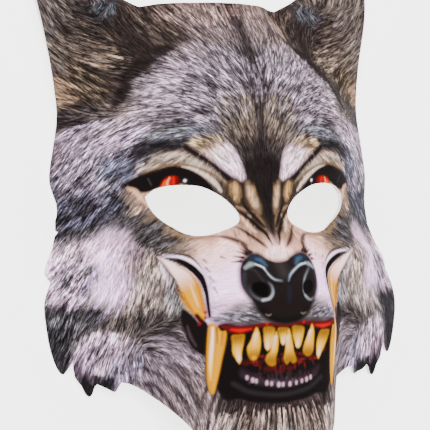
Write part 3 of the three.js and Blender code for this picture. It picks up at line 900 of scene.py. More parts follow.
# %% [markdown]
# Most of each eye is cut away for the wearer to see through. What is left is a slip of red iris under
# the lid, with a pale glint and a small white light. Both eyes look the same way, so they aren't mirrored,
# and the right one is drawn wider because it lies on a slope in the picture.

# %% Eyes
EYE_MIDDLE = 45.5
SIDES = ((-1, 0, 1), (1, -4.6, 1.5))  # side, shift in mm, how many times as wide
IRIS = [(49.6, -5.8), (49.2, -2), (47, -0.2), (44, -0.1), (42, -1.2), (41.6, -3.4), (42.4, -6)]


def in_eye(points, side, shift, wide):
    """Places of a drawn eye, moved and widened for the eye on one side."""
    return [(side * (EYE_MIDDLE + wide * (x - EYE_MIDDLE) + shift), y + shift / 4) for x, y in points]


for eye in SIDES:
    patch(in_eye(IRIS, *eye), "bc040a", to="5f0f0f", along=in_eye([(45.5, -2), (41.5, -2.6)], *eye),
          mirror=False)
    patch(in_eye([(49.6, -6), (49, -3), (47.6, -1.5), (46.6, -3.2), (46.4, -6)], *eye), "cd7400",
          mirror=False)
    stroke(in_eye([(46.2, -0.6), (46.9, -2.4), (47, -6)], *eye), [0.3, 0.6, 0.7], "dbc8a6", soft=0.4,
           mirror=False)
    stroke(in_eye([(44.6, -0.4), (44.2, -3), (44.4, -6)], *eye), [0.4, 0.8, 0.6], "d11500", soft=0.4,
           strength=0.7, mirror=False)
    dots(in_eye([(39.3, -2.7)], *eye), 2.4, "5c5357", soft=0.8, strength=0.6, mirror=False)
    dots(in_eye([(39.3, -2.7)], *eye), 1.0, "f4f1f3", soft=0.4, mirror=False)
hairs((60.5, -12), (2.6, 4), 30, 4, 0.5, ["8d7867", "d7c8bc", "6c5b50"], 0.5)
stroke([(55.5, 0), (54, -3)], 0.7, "595150", soft=0.4, strength=0.7)
stroke([(63.5, -3.4), (60.6, -5.4), (58.4, -9.5), (56, -13)], [1.2, 2.4, 2, 1], "d6c6b4", soft=0.8,
       strength=0.8)
stroke([(26, -33), (34, -31.6), (42, -29.5), (48, -25.6)], 1.2, "b09977", soft=0.8, strength=0.7)
tell("eyes")

# %% [markdown]
# The snarl pushes the skin of the bridge into ridges. Each ridge is a light oval or streak between two
# dark creases. A light stroke over a wider dark one gives both at once, with a few hairs to soften it.

# %% Bridge of the nose
patch([(18.5, -6), (15, -4.6), (12.5, -8), (12.3, -13), (14.5, -15.5), (17.5, -11)], "a78c69", soft=1.3,
      fur=0.3)
hairs((15.4, -10.5), (2.4, 3.4), 40, 3.5, 0.3, ["dbcca5", "352720", "c6b080"], 0.6)
stroke([(18.5, -5.4), (14.6, -4), (11.6, -8), (11.4, -13.4), (14, -16.4), (18, -11.6), (19, -6.5)], 0.8,
       "2b201a", soft=0.7, strength=0.85)
stroke([(9.4, -6), (7.6, -12), (5.6, -18), (4.4, -22)], [4.4, 7, 6.2, 3], "2b201a", soft=0.9, strength=0.9)
stroke([(8.8, -6), (7.4, -11.6), (5.6, -17.6), (4.4, -21.4)], [2.4, 5.4, 4.6, 1.4], "9a8266", soft=1)
stroke([(8.6, -8), (7.2, -12.6), (5.6, -17.4)], [0.8, 2.8, 1.6], "ccbfb5", soft=1.1)
hairs((6.8, -13.6), (2.4, 6), 56, 3.6, 0.3, ["daceb9", "4c372a", "c5ac7a"], 0.55)
stroke([(14.6, -17), (11, -19), (7, -20.8)], [0.4, 1.2, 0.4], "b39b80", soft=0.7)
patch([(14.4, -20), (11, -23.6), (9.3, -27.2), (7.2, -32), (6.2, -35), (9.4, -32), (12.5, -28.2), (15, -24)],
      "b3977f", soft=0.6)
stroke([(13, -22.5), (10.8, -27), (8.6, -31)], [0.6, 1.6, 0.6], "dbcdc4", soft=0.7)
hairs((10.5, -27), (2.6, 4), 26, 3.4, 0.3, ["dacec5", "6d4d3b"], 0.5)
stroke([(5.9, -22.2), (4.3, -26), (3, -30)], [1.6, 2.2, 1], "987c5b", soft=0.6)
stroke([(15, -18.8), (10.7, -22.4), (8.1, -25.8), (5.7, -29.4), (3.8, -32), (3, -35), (2, -38)],
       [0.7, 1.9, 2.3, 2.3, 2, 1.7, 0.8], "201615", soft=0.6)
stroke([(12, -13.5), (10.3, -18), (7.5, -22), (5.4, -25.5), (3.3, -28.6)], [0.8, 1.9, 2, 2, 1.2], "201615",
       soft=0.6)
stroke([(24, -20), (20, -22), (17, -25.5), (15.5, -29)], [2, 2.6, 2.2, 1], "d6c6af", soft=1, strength=0.8)
stroke([(38.3, -31.6), (32.6, -31), (27.5, -31), (22.6, -32.1), (18.9, -34.3), (16.3, -37), (15.6, -40.3)],
       [0.6, 1.1, 1.4, 1.7, 2, 2, 1.2], "51382b", soft=0.9, strength=0.9)
stroke([(23.5, -31.6), (19.5, -34.6), (17.1, -38), (16.4, -41.3)], [1, 2.4, 3, 2.2], "302421", soft=1.2,
       strength=0.85)
hairs((14, -34.5), (6, 4), 40, 5, 0.3, ["7e5e48", "dacabc", "4f372b"], 0.55)
stroke([(18.4, -25.6), (14.7, -28.6), (12.6, -31.3), (9.9, -34.6), (7.2, -37.6), (5.4, -39.6)],
       [0.6, 1.6, 2.2, 2.4, 2, 0.8], "2e1d19", soft=0.8, strength=0.95)
patch([(8.6, -42.2), (5.8, -40.6), (1.1, -39.8), (-3.4, -40.2), (-6, -41.6), (-7.4, -44), (-3.2, -46.4),
       (1.6, -46.6), (6.1, -45.2), (8.4, -43.6)], "e1d4d2", soft=1.4, strength=0.9, mirror=False)
hairs((0, -42), (6, 1.6), 30, 4.5, 0.6, ["b8a49f", "efe6e4", "8f7771"], 0.5, mirror=False)
for tuft in ([(14.5, -41.5), (17.2, -38.6)], [(17, -42.4), (20.8, -40.2)], [(18.8, -43.8), (22.8, -42.6)],
             [(15.8, -42), (19.3, -39)], [(20, -45.5), (23.6, -45.4)]):
    stroke(tuft, [1.8, 0.3], "1c1516")
tell("bridge")

# %% [markdown]
# The nose is wet and smooth, so it has no streaks at all: fur is 0 on it. It looks round because of
# painted lights: a blue sheen on top, two thin white edges and a ring of light round each nostril. A thin
# bright stroke over a wide dim one reads as a shine.

# %% Nose
NOSE = [(-17.3, -43), (-15.1, -41.6), (-11.4, -41.6), (-8.8, -43.2), (-6.2, -44.9), (-1.7, -46.3),
        (3.1, -45.8), (6.4, -43.8), (9.9, -42.4), (14.3, -41.9), (18.6, -44.5), (21, -49.6), (21.6, -54.7),
        (21, -59.6), (19.2, -63.9), (16.6, -68), (13.5, -72.1), (9.2, -76), (4.4, -77.7), (-3.6, -77.7),
        (-9.8, -75.7), (-14.2, -72.1), (-17.5, -67.1), (-21, -62), (-22.4, -56.9), (-22.1, -51.4),
        (-21.3, -47.9), (-19.5, -44.6)]
patch(NOSE, "261d1d", to="221817", along=((0, -50), (0, -70)), soft=1.3, mirror=False)
stroke([(0, -48.5), (0, -53)], 5, "4c4444", soft=2.6, strength=0.6, mirror=False)
stroke([(-14, -70), (-8, -74.5), (0, -76), (8, -74.5), (13, -70.5)], 3, "151011", soft=1.6, strength=0.9,
       mirror=False)
stroke([(-20, -52), (-20.6, -58), (-18.6, -63.6)], 1.6, "4b4c53", soft=1.4, strength=0.7)
patch([(17, -44.5), (13.5, -42.6), (10, -43.6), (8.2, -46.6), (8.6, -49), (11.5, -47), (15.5, -46)], "273850",
      soft=1.6, strength=0.9)
stroke([(12.6, -45.2), (10.4, -46), (8.6, -48.4)], [0.5, 1.6, 0.6], "7596ad", soft=1.2, strength=0.5)
SHEENS = [  # a broad light on top of the nose and a thin one on its edge, left and right
    ([(-18.8, -49), (-16.4, -47.6), (-14.6, -47.6)],
     [(-14, -47.6), (-10.5, -49.5), (-9.4, -51.9), (-8.1, -54.1), (-5.9, -56), (-2.2, -56.8)]),
    ([(19.3, -50), (17, -48.6), (15, -48.2)],
     [(14.6, -48), (10.8, -48.9), (7, -51.1), (3.5, -53.9), (1.7, -57)]),
]
for broad, edge in SHEENS:
    stroke(broad, [0.6, 1.5, 0.4], "c6c9cb", soft=1.2, strength=0.75, mirror=False)
    stroke(edge, [0.2, 0.9, 0.5, 0.9, 0.7, 0.1], "7f95a7", soft=1.1, strength=0.6, mirror=False)
    stroke(edge, [0.1, 0.4, 0.2, 0.5, 0.4, 0.1], "eceff1", to="8c969f", strength=0.9, mirror=False)
    stroke([(x, y - 2) for x, y in edge], [0.6, 1.2, 0.9, 1.2, 0.8, 0.2], "0f0c0d", soft=0.8, strength=0.8,
           mirror=False)
stroke([(17.4, -49.6), (15, -50.8), (13.8, -52.6), (12.9, -54.6), (11.6, -56.4)], 0.4, "504a4e", soft=0.8,
       strength=0.6)
stroke([(-18.4, -57.2), (-18, -60.9), (-15.8, -64), (-12.7, -65.6)], [0.1, 0.2, 0.4, 0.5], "2f3237",
       to="9a9ea3", soft=1, strength=0.7, mirror=False)
stroke([(-12.7, -65.6), (-9.4, -65), (-7.6, -62.5), (-8, -59.2), (-10, -56.6)], [0.2, 0.5, 0.5, 0.2, 0.1],
       "d6d9db", to="34373c", soft=0.9, strength=0.85, mirror=False)
stroke([(16, -50.6), (12.4, -54.6), (10.6, -58.6), (10.4, -62)], [0.2, 0.3, 0.4, 0.4], "767d83", to="d0d4d7",
       soft=0.9, strength=0.75, mirror=False)
stroke([(10.4, -62), (11.6, -64.8), (14.7, -66.4), (17.8, -64.4)], [0.4, 0.5, 0.3, 0.1], "d6d9db",
       to="3d4247", soft=0.9, strength=0.75, mirror=False)
patch([(17.3, -59.2), (16.2, -56.9), (13.2, -56.5), (10.5, -57.8), (9.6, -60.3), (10, -63), (11.9, -64),
       (14.3, -63), (16.5, -61.3)], "080505", soft=0.6)
stroke([(1.6, -60), (1.4, -64), (1.4, -67)], [0.6, 1.4, 0.6], "2c3651", soft=1.4, strength=0.45, mirror=False)
stroke([(8.4, -72.6), (9.8, -73.1), (11.4, -72.4)], [0.2, 0.6, 0.2], "a49a8d", soft=0.4, strength=0.8)
dots([(10, -72.2)], 0.5, "0f0c0c", soft=0.5)
tell("nose")

# %% [markdown]
# The muzzle is nearly white, with short dark hairs over the lip, and small ticks where the whiskers
# grow.

# %% Muzzle
hairs((24, -72.6), (10, 2.4), 170, 3.5, 0.4, ["3b383d", "66646a", "29282c", "c9c5cc"], 0.6)
stroke([(34, -74.4), (28, -75.6), (21, -76), (15, -75.8)], [0.6, 1.2, 1.2, 0.5], "2a282d", soft=0.9,
       strength=0.8)
hairs((31, -58), (5, 12), 26, 6, 0.8, ["c4b9cb", "f7f4fb"], 0.5)
for dash in ([(34.2, -42.5), (32.8, -44.2)], [(33.6, -46.6), (32.2, -49)], [(32.6, -51.5), (31.4, -54)],
             [(27, -42), (25.6, -43.2)], [(31.8, -57), (31, -60)]):
    stroke(dash, [1.1, 0.5], "30272c", soft=0.45, strength=0.9)
stroke([(36.5, -41), (34.6, -46), (33.2, -52), (32.9, -58), (33.2, -64)], 1, "c3b7ca", soft=1, strength=0.6)
tell("muzzle")

# %% [markdown]
# A long curved tusk hangs on each side. It is white at its root and yellow towards its tip, with a black
# gap on its inner side. The patch changes colour along its length, and thin strokes add the streaks that
# old ivory has.

# %% Upper tusks
stroke([(48.2, -38.4), (41.3, -40), (36.9, -44.2), (34.2, -50.4)], [0.6, 1, 1, 0.5], "2a2426", soft=0.45)
stroke([(53, -39.4), (45.2, -40.6), (39.6, -43.6), (35.4, -49), (34, -54.6)], [0.5, 1.3, 1.8, 1.6, 0.8],
       "e2dce5", soft=0.6)
stroke([(52.2, -40.3), (45.3, -42.4), (39.7, -46.3), (36, -51.2), (34.9, -58.3), (35.2, -65.5),
        (35.4, -70.6)], [0.8, 2.8, 4, 3.8, 2.8, 2.2, 2], "150f0f", soft=0.6)
TUSK = [(55.6, -40.1), (51.5, -45.8), (47.4, -52.1), (45.1, -58.4), (42.5, -65.1), (40.3, -70.2), (38.8, -73),
        (37.4, -72.4), (36.6, -68.5), (36.5, -61.3), (37, -54), (40, -48.4), (46.9, -44), (54.5, -40.2)]
patch([(x + (0.5 if x > 41 else -0.3), y) for x, y in TUSK], "603b1b")
patch(TUSK, "e0d6d6", to="d2b500", along=((46.6, -46), (41.6, -58)), soft=0.45)
stroke([(47.5, -44.2), (41, -48.4), (38, -54), (37.2, -61), (37.2, -68)], [0.3, 0.6, 0.8, 0.9, 0.9], "be8b01",
       soft=0.4)
stroke([(47, -53), (44.8, -59.6), (42.4, -66)], [0.4, 1.3, 1.4], "d0ad03")
stroke([(55.4, -40.6), (50.9, -46.6), (46.9, -52.8), (44.4, -59.4), (42.4, -64.8)], [0.4, 0.9, 1, 1, 0.5],
       "2d1a0f", soft=0.45)
stroke([(44.6, -57), (42.8, -62.4), (40.6, -68)], [0.6, 1.5, 1.2], "cda801")
stroke([(38.3, -55), (37.8, -62), (38, -68)], [0.6, 1.2, 1], "d0ad03")
stroke([(40.6, -54), (39.4, -60), (38.6, -65)], [0.5, 0.7, 0.2], "ddd3c4", soft=0.7, strength=0.8)
stroke([(44, -57), (42.4, -63), (40.6, -68.6)], [0.3, 0.7, 0.5], "9c6720", strength=0.7)
stroke([(39.8, -69.6), (38.4, -72.6), (37, -75)], [2.6, 3, 2], "510f0f", soft=0.7)
dots([(36.6, -68.6), (39.4, -74.6)], 1.6, "b40619")
patch([(44.9, -65.1), (46.1, -70.9), (44.9, -77.2), (43.3, -82), (41.6, -85.4), (38.9, -88.4), (36.6, -88.6),
       (36.6, -74), (39, -73.2), (41.6, -68.8)], "191112", soft=0.6)
stroke([(43.6, -74), (42.6, -79), (40.6, -84)], [0.5, 1.3, 0.6], "6c545d", soft=0.7, strength=0.7)
dots([(39.2, -73.8), (36.8, -71)], 1.4, "9c191e")

stroke([(55.4, -42.4), (53.8, -46), (52.4, -50)], [0.8, 1.8, 0.8], "d5d0d4", soft=0.7, strength=0.9, fur=0.3)
stroke([(51.5, -47.5), (49, -52.5), (47, -58.5), (45.4, -64)], [1, 3, 3.6, 2], "6d6a6c", soft=1.6,
       strength=0.7, fur=0.8)
hairs((48.6, -57), (3, 8), 70, 6, 0.4, ["c6c1c3", "38363b", "8b8789"], 0.7)
tell("upper tusks")

# %% [markdown]
# The mouth is a black patch with a red upper lip. Nine teeth stand in it, each an outline with its root
# and its tip. One loop paints them all: a dark rim, gold from root to middle, a pale core and three brown
# streaks at the root. The wet lower lip is a row of small lights of uneven size.

# %% Mouth and teeth
HALF_MOUTH = [(0, -77.6), (9, -76.8), (16, -76.8), (24, -76.8), (31, -75), (34, -77), (34.6, -86),
              (34.2, -94), (33.6, -101), (31.6, -107.5), (28.5, -111.8), (22, -111.6), (15.5, -113.8),
              (4, -115.2), (0, -115.4)]
other_half = [(-x, y) for x, y in reversed(HALF_MOUTH[1:-1])]
patch(HALF_MOUTH + other_half, "160f10", soft=0.6, mirror=False)
stroke([(32, -76.2), (28.4, -78), (24, -78.7), (18, -78.4), (12.5, -77.3), (6.6, -77.7), (-0.5, -78.6)],
       [1.2, 3.4, 4, 3.2, 2, 1.4, 1.2], "7f1418", soft=0.6)
stroke([(28, -78.4), (23.6, -79.2), (18.4, -78.8)], [1, 2.2, 0.8], "c90306", soft=0.6)
dots([(10.4, -77.2)], 1.2, "c30414")
stroke([(-20.8, -98.6), (-16.7, -101), (-13.3, -102.6), (-7.4, -103.8), (-2.5, -104.6), (3.7, -104.6),
        (9.5, -104.2), (13.8, -102.8), (18.8, -101.6), (22.6, -99.4)], 2.6, "3e2330", soft=1.4, strength=0.9,
       mirror=False)
for x, y, wide in ((-19, -94.6, 2.4), (-13.3, -95.2, 2), (-6.5, -98.6, 2.6), (-1, -100.2, 2),
                   (4.7, -98.8, 2.4), (11.3, -95, 2.4), (18.2, -94.2, 2.4), (24.6, -91, 2.2)):
    stroke([(x - wide, y + 0.5), (x, y), (x + wide, y + 0.4)], [0.8, 1.6, 0.8], "7d1a1a", soft=1.2,
           strength=0.8, mirror=False)
hairs((1, -94.5), (21, 3.4), 110, 3, 0.8, ["9d2322", "ae2725", "3d0f0d", "1e1012", "1e1012"], 0.6,
      mirror=False)
hairs((1, -101), (20, 1.6), 50, 4, 0.9, ["130c0d", "2e2226", "4e3238"], 0.7, mirror=False)
SLIM = 0.9  # the dark gaps between the teeth
# outline, root, tip
TEETH = [
    ([(-28, -81.3), (-24, -81), (-20.7, -81.3), (-20.3, -85.2), (-20.9, -89.1), (-21.3, -92.1),
      (-22.1, -94.7), (-24, -92.2), (-25.9, -89.4), (-26.8, -85.4)], (-24, -82), (-22.4, -93)),
    ([(28.4, -81.3), (24, -81), (22, -81.6), (21.4, -85.2), (21.4, -89.1), (21.5, -92.1), (22.6, -94.9),
      (24.4, -92.2), (26.4, -89.4), (28, -85.4)], (25, -82), (22.8, -93)),
    ([(-12.4, -78.9), (-9.6, -78.3), (-6, -79.2), (-5, -82.4), (-5.3, -86.3), (-6.7, -88.8), (-8.2, -89.3),
      (-9.9, -86), (-11.3, -82)], (-9, -79), (-8, -88)),
    ([(3.3, -79), (7, -78.7), (11.2, -79.7), (12.1, -83.8), (11.4, -87.8), (9.1, -89.2), (7.1, -86.3),
      (4.7, -82.3)], (8, -79), (9.3, -88)),
    ([(-4.8, -79.6), (-1.8, -79.2), (2.1, -79.9), (2.8, -83.4), (1.5, -87), (-0.3, -86.8), (-2.4, -83.2)],
     (-1, -80), (0.5, -86)),
    ([(-15.7, -78.4), (-13, -81.9), (-11.5, -85.9), (-11.8, -89.8), (-13.3, -92.9), (-16.2, -93.6),
      (-18.1, -91.3), (-18.7, -87.3), (-17.3, -84.1), (-16.8, -81)], (-14.8, -92), (-15.2, -81)),
    ([(15.7, -78.3), (18.6, -82.1), (19.8, -86.8), (19.6, -90.8), (17.4, -93), (14.6, -93.2), (12.3, -91.2),
      (13, -87.8), (14.2, -83.9), (15, -80.7)], (16, -92), (15.8, -81)),
    ([(-4.7, -80.8), (-2.2, -85.1), (-2.2, -89.1), (-3.3, -93.1), (-3.3, -96.5), (-6.4, -97), (-9.3, -94.6),
      (-8.9, -92), (-6.3, -89.6), (-5.1, -85.6)], (-6, -95), (-4.4, -83)),
    ([(1.8, -80), (4.7, -83.5), (6.5, -87.6), (7.3, -91), (9.2, -95.2), (7, -96.4), (4.8, -95.3),
      (2.9, -96.8), (0.7, -94.3), (1.2, -91.4), (2.1, -87.4), (1.8, -83.4)], (4.6, -95), (2.4, -83)),
]
for outline, root, tip in TEETH:
    centre = (root[0] + tip[0]) / 2
    outline = [(centre + SLIM * (x - centre), y) for x, y in outline]
    near_root, middle, near_tip = [[root[k] + part * (tip[k] - root[k]) for k in (0, 1)]
                                   for part in (0.3, 0.6, 0.95)]
    stroke(outline + outline[:1], 0.8, "3c2112", strength=0.9, mirror=False)
    patch(outline, "b89008", to="d8c305", along=(root, middle), mirror=False)
    stroke([near_tip, middle, near_root], [1.2, 1.1, 0.2], "dfd5d0", to="d2b500", soft=1.2, strength=0.95,
           mirror=False)
    for aside in (-1.5, 0, 1.4):
        stroke([(root[0] + aside, root[1]), (middle[0] + aside, (root[1] + middle[1]) / 2)], [0.5, 0.1],
               "7e4e1e", soft=0.45, strength=0.6, mirror=False)
dots([(-15, -92.4)], 1.6, "d2b500", soft=0.9, mirror=False)
LIP_LIGHTS = [(-20.8, -100.4), (-15.6, -103), (-9, -104.8), (-2, -106), (5, -106.2), (11.6, -105.2),
              (17.4, -103.8), (21.4, -102)]
stroke(LIP_LIGHTS, [1.2, 2.2, 2.8, 3, 2.8, 2.2, 1.2], "4c3a42", soft=1.4, strength=0.7, mirror=False)
hairs((1, -104), (19, 1), 50, 1.6, 0.3, ["8f8088", "68535f", "2d2028", "2d2028"], 0.6, mirror=False)
for x, y, size in ((-18.4, -101.6, 1), (-15.6, -103.1, 1.5), (-13.8, -103.6, 1), (-8.2, -105, 1.4),
                   (-5.6, -105.5, 1.1), (-1.6, -106.2, 1.8), (0.8, -106.3, 1.2), (4.8, -106.3, 1.5),
                   (8.6, -105.9, 1), (12, -105.2, 1), (15, -104.6, 1.5), (17.6, -103.7, 1.2)):
    stroke([(x, y + 0.3), (x, y - 0.4)], size * 0.7, "dcced6", soft=0.8, strength=0.8, mirror=False)
stroke([(25, -104), (17, -108.6), (8, -110.6), (-1, -111.2), (-10, -110.2), (-18, -108.2), (-25, -104)], 1.6,
       "463d42", soft=1.2, strength=0.6, mirror=False)
for wisp in ([(32, -103), (33.5, -110), (36, -117)], [(30, -110), (32, -116), (33, -121)],
             [(27, -112), (28, -118)], [(33, -98), (36.5, -106), (38.5, -112)]):
    stroke(wisp, [2.6, 1.6, 0.4], "1d1616", soft=0.7, strength=0.85)
tell("mouth and teeth")

# %% [markdown]
# A long straight tusk rises over the lip on each side of the mouth. It has the tusk colours again, but
# its pale core runs down one side, which makes it look round.

# %% Lower tusks
FANG = [(35.8, -74.4), (36.7, -78.6), (37, -86.2), (36.8, -93), (36.5, -98.3), (36, -103), (35, -107.2),
        (33.6, -108), (32.8, -105), (31.7, -98.9), (30.8, -91.6), (30.1, -85.7), (30.2, -79.2), (32.2, -78.6),
        (34, -75)]
patch([((x - 34) * 1.18 + 34, y - 0.2) for x, y in FANG], "522a11")
patch(FANG, "cdac02", soft=0.45)
stroke([(32.6, -80), (32.6, -88), (33, -96), (33.9, -104)], [2.6, 2.6, 2, 1], "d2b500", soft=0.7)
stroke([(35, -76.6), (35.3, -86), (35.3, -94), (35, -101)], [1, 1.9, 1.8, 0.6], "e0d8d3", to="dbcc13",
       soft=0.6)
stroke([(32, -81), (32.2, -90), (33, -98), (33.8, -106)], [1.4, 1.8, 2, 1], "d2b500")
stroke([(33.7, -76.8), (33.4, -84)], [0.9, 0.5], "7e4e1e", soft=0.4, strength=0.8)
stroke([(31.7, -79.6), (31.7, -85)], [0.8, 0.4], "976422", soft=0.4, strength=0.8)
tell("lower tusks")

# %% [markdown]
# The corners carry colour down to about a millimetre. The hairs between are finer, so the material adds
# them: noise drawn out to streaks. A noise can only be drawn out one way, so eight of them lie at eight
# angles, and each place shows the ones nearest to its own growth.

# %% Attributes for the material
def corner_data(name, kind, field, values):
    """An attribute on the corners. Those of the back get zeros where nothing is given for them."""
    whole = np.zeros((len(points), *np.shape(values)[1:]), np.float32)
    whole[:len(values)] = values
    mesh.attributes.new(name, kind, "POINT").data.foreach_set(field, whole.ravel())


white = np.ones((len(points), 4))
white[:count, :3] = ink
corner_data("ink", "FLOAT_COLOR", "color", white)
corner_data("hair", "FLOAT", "value", hair)
corner_data("growth", "FLOAT_VECTOR", "vector", np.pad(growth_at(plan), ((0, 0), (0, 1))))
cloth_plan = np.vstack([flattened(plan), back_plan]) * MM
corner_data("cloth", "FLOAT_VECTOR", "vector", np.pad(cloth_plan, ((0, 0), (0, 1))))
NAMES = ("ink", "hair", "growth", "cloth")
print("attributes:", [layer.name for layer in mesh.attributes if layer.name in NAMES])

# %% [markdown]
# The streaks are one group, because three layers of different width use it. It takes a place on the
# cloth and the growth there, and puts out one value. The growth is kept as a doubled angle, since a hair
# has no front or back, and a power of its likeness to each way lets the nearest of them win.

# %% Streaks along the hairs, as a node group
WAYS = 8  # angles at which the streaks lie
FAVOUR = 10.0  # power that lets the nearest of them win
APART = (17.0, 5.0)  # shift from one to the next, so that they show different spots
NOISE = {"Detail": 2.0, "Roughness": 0.6}


def add(tree, kind, inputs=(), **settings):
    """A node with its settings and its inputs, each a value or a socket to link."""
    node = tree.nodes.new("ShaderNode" + kind)
    for name, value in settings.items():
        setattr(node, name, value)
    for key, value in dict(inputs).items():
        if isinstance(value, bpy.types.NodeSocket):
            tree.links.new(value, node.inputs[key])
        else:
            node.inputs[key].default_value = value
    return node


def new_group(name, inputs, outputs):
    """An empty node group, what it is given and what it puts out."""
    group = bpy.data.node_groups.new(name, "ShaderNodeTree")
    for way, sockets in (("INPUT", inputs), ("OUTPUT", outputs)):
        for socket, kind in sockets.items():
            group.interface.new_socket(socket, in_out=way, socket_type="NodeSocket" + kind)
    return group, group.nodes.new("NodeGroupInput").outputs, group.nodes.new("NodeGroupOutput").inputs


STREAK_INPUTS = {"Place": "Vector", "Growth": "Vector", "Width": "Float", "Length": "Float"}
streaks, given, result = new_group("hair_streaks", STREAK_INPUTS, {"Streaks": "Float"})
size = add(streaks, "Math", {0: 1.0, 1: given["Width"]}, operation="DIVIDE")
long = add(streaks, "Math", {0: 1.0, 1: given["Length"]}, operation="DIVIDE")
scale = add(streaks, "CombineXYZ", {"X": long.outputs[0], "Y": size.outputs[0], "Z": 1.0})
for way in range(WAYS):
    angle = math.pi * way / WAYS
    toward = (math.cos(2 * angle), math.sin(2 * angle), 0)
    near_way = add(streaks, "VectorMath", {0: given["Growth"], 1: toward}, operation="DOT_PRODUCT")
    kept = add(streaks, "Math", {0: near_way.outputs["Value"], 1: 0.0}, operation="MAXIMUM")
    share = add(streaks, "Math", {0: kept.outputs[0], 1: FAVOUR}, operation="POWER")
    turned_place = add(streaks, "VectorRotate", {"Vector": given["Place"], "Angle": -angle},
                       rotation_type="Z_AXIS")
    drawn = add(streaks, "VectorMath", {0: turned_place.outputs[0], 1: scale.outputs[0]},
                operation="MULTIPLY")
    shift = (APART[0] * way, APART[1] * way, 0)
    shifted = add(streaks, "VectorMath", {0: drawn.outputs[0], 1: shift}, operation="ADD")
    spots = add(streaks, "TexNoise", {"Vector": shifted.outputs[0], "Scale": 1.0, **NOISE},
                noise_dimensions="2D")
    part = add(streaks, "Math", {0: spots.outputs[0], 1: share.outputs[0]}, operation="MULTIPLY")
    if way == 0:
        total, weight = part.outputs[0], share.outputs[0]
    else:
        total = add(streaks, "Math", {0: total, 1: part.outputs[0]}).outputs[0]
        weight = add(streaks, "Math", {0: weight, 1: share.outputs[0]}).outputs[0]
mean = add(streaks, "Math", {0: total, 1: weight}, operation="DIVIDE")
streaks.links.new(mean.outputs[0], result["Streaks"])
print("streaks group of", len(streaks.nodes), "nodes")

# %% [markdown]
# The face is a fine knit, and so is the back. Two crossed sines make its stitches, 0.8 mm apart, and
# a noise over them stands for wear. The group puts out a normal and the wear. Both materials use it, so
# the cloth is the same on either side.

# %% Knit, as a node group
STITCH = 0.8 * MM
DEPTH = 0.05 * MM  # of the stitches
WORN = 2 * MM  # size of the spots of wear
RANGE = {"From Min": 0.3, "From Max": 0.7}  # values between which nearly all of a noise lies
knit, given, result = new_group("knit", {"Place": "Vector"}, {"Normal": "Vector", "Wear": "Float"})
turns = add(knit, "VectorMath", {0: given["Place"], "Scale": 2 * math.pi / STITCH}, operation="SCALE")
apart = add(knit, "SeparateXYZ", {0: turns.outputs[0]})
ribs = add(knit, "Math", {0: apart.outputs["X"]}, operation="SINE")
loops = add(knit, "Math", {0: apart.outputs["Y"]}, operation="SINE")
stitches = add(knit, "Math", {0: ribs.outputs[0], 1: loops.outputs[0]}, operation="MULTIPLY")
spots = add(knit, "TexNoise", {"Vector": given["Place"], "Scale": 1 / WORN, "Detail": 3.0})
height = add(knit, "Math", {0: stitches.outputs[0], 1: spots.outputs[0]}, operation="ADD")
bumps = add(knit, "Bump", {"Strength": 0.25, "Distance": DEPTH, "Height": height.outputs[0]})
knit.links.new(bumps.outputs[0], result["Normal"])
knit.links.new(spots.outputs[0], result["Wear"])


def new_material(name):
    """A material, its nodes and the inputs of its shader."""
    made = bpy.data.materials.new(name)
    made.use_nodes = True
    return made, made.node_tree, made.node_tree.nodes["Principled BSDF"].inputs


def knitted(tree, shader, smoothest, roughest):
    """Joins the knit to a shader's normal and roughness, and returns its wear."""
    laid_flat = add(tree, "Attribute", attribute_name="cloth")
    made = add(tree, "Group", {"Place": laid_flat.outputs["Vector"]}, node_tree=knit)
    ends = {"To Min": smoothest, "To Max": roughest}
    rough = add(tree, "MapRange", {"Value": made.outputs["Wear"], **RANGE, **ends})
    tree.links.new(made.outputs["Normal"], shader["Normal"])
    tree.links.new(rough.outputs[0], shader["Roughness"])
    return made.outputs["Wear"]


print("knit group of", len(knit.nodes), "nodes")

# %% [markdown]
# Printed polyester is dull. The ink comes from the corners, and the streaks raise or lower it in stops
# of light, so that dark and light fur keep their hue. The result can't go above white. Roughness is high
# and the shine very low, or the slopes seen at an angle would look hazy.

# %% Printed cloth
LAYERS = ((0.5, 5), (1.1, 9), (0.75, 3))  # width and length of the streaks, mm: fine, coarse and short
# how the noise of the long layers, and of the short one, is read as stops of light
STREAK_STOPS = {"From Min": 0.78, "From Max": 1.22, "To Min": -2.0, "To Max": 1.7}
TICK_STOPS = {"From Min": 0.55, "From Max": 0.66, "To Min": 0.25, "To Max": -1.7}
CLOTH_ROUGH, SHINE = (0.64, 0.76), 0.02
cloth_material, tree, shader = new_material("printed_cloth")
knitted(tree, shader, *CLOTH_ROUGH)
shader["Specular IOR Level"].default_value = SHINE
tint = add(tree, "Attribute", attribute_name="ink")
amount = add(tree, "Attribute", attribute_name="hair")
ways = add(tree, "Attribute", attribute_name="growth")
place = add(tree, "Attribute", attribute_name="cloth")
layers = [add(tree, "Group", {"Place": place.outputs["Vector"], "Growth": ways.outputs["Vector"],
                              "Width": width * MM, "Length": length * MM},
              node_tree=streaks).outputs["Streaks"] for width, length in LAYERS]
both_layers = add(tree, "Math", {0: layers[0], 1: layers[1]})
spread_out = add(tree, "MapRange", {"Value": both_layers.outputs[0], **STREAK_STOPS})
ticks = add(tree, "MapRange", {"Value": layers[2], **TICK_STOPS})
every = add(tree, "Math", {0: spread_out.outputs[0], 1: ticks.outputs[0]})
stops = add(tree, "Math", {0: every.outputs[0], 1: amount.outputs["Fac"]}, operation="MULTIPLY")
times = add(tree, "Math", {0: 2.0, 1: stops.outputs[0]}, operation="POWER")
streaked = add(tree, "VectorMath", {0: tint.outputs["Color"], "Scale": times.outputs[0]}, operation="SCALE")
bounded = add(tree, "VectorMath", {0: streaked.outputs[0], 1: (FULL, FULL, FULL)}, operation="MINIMUM")
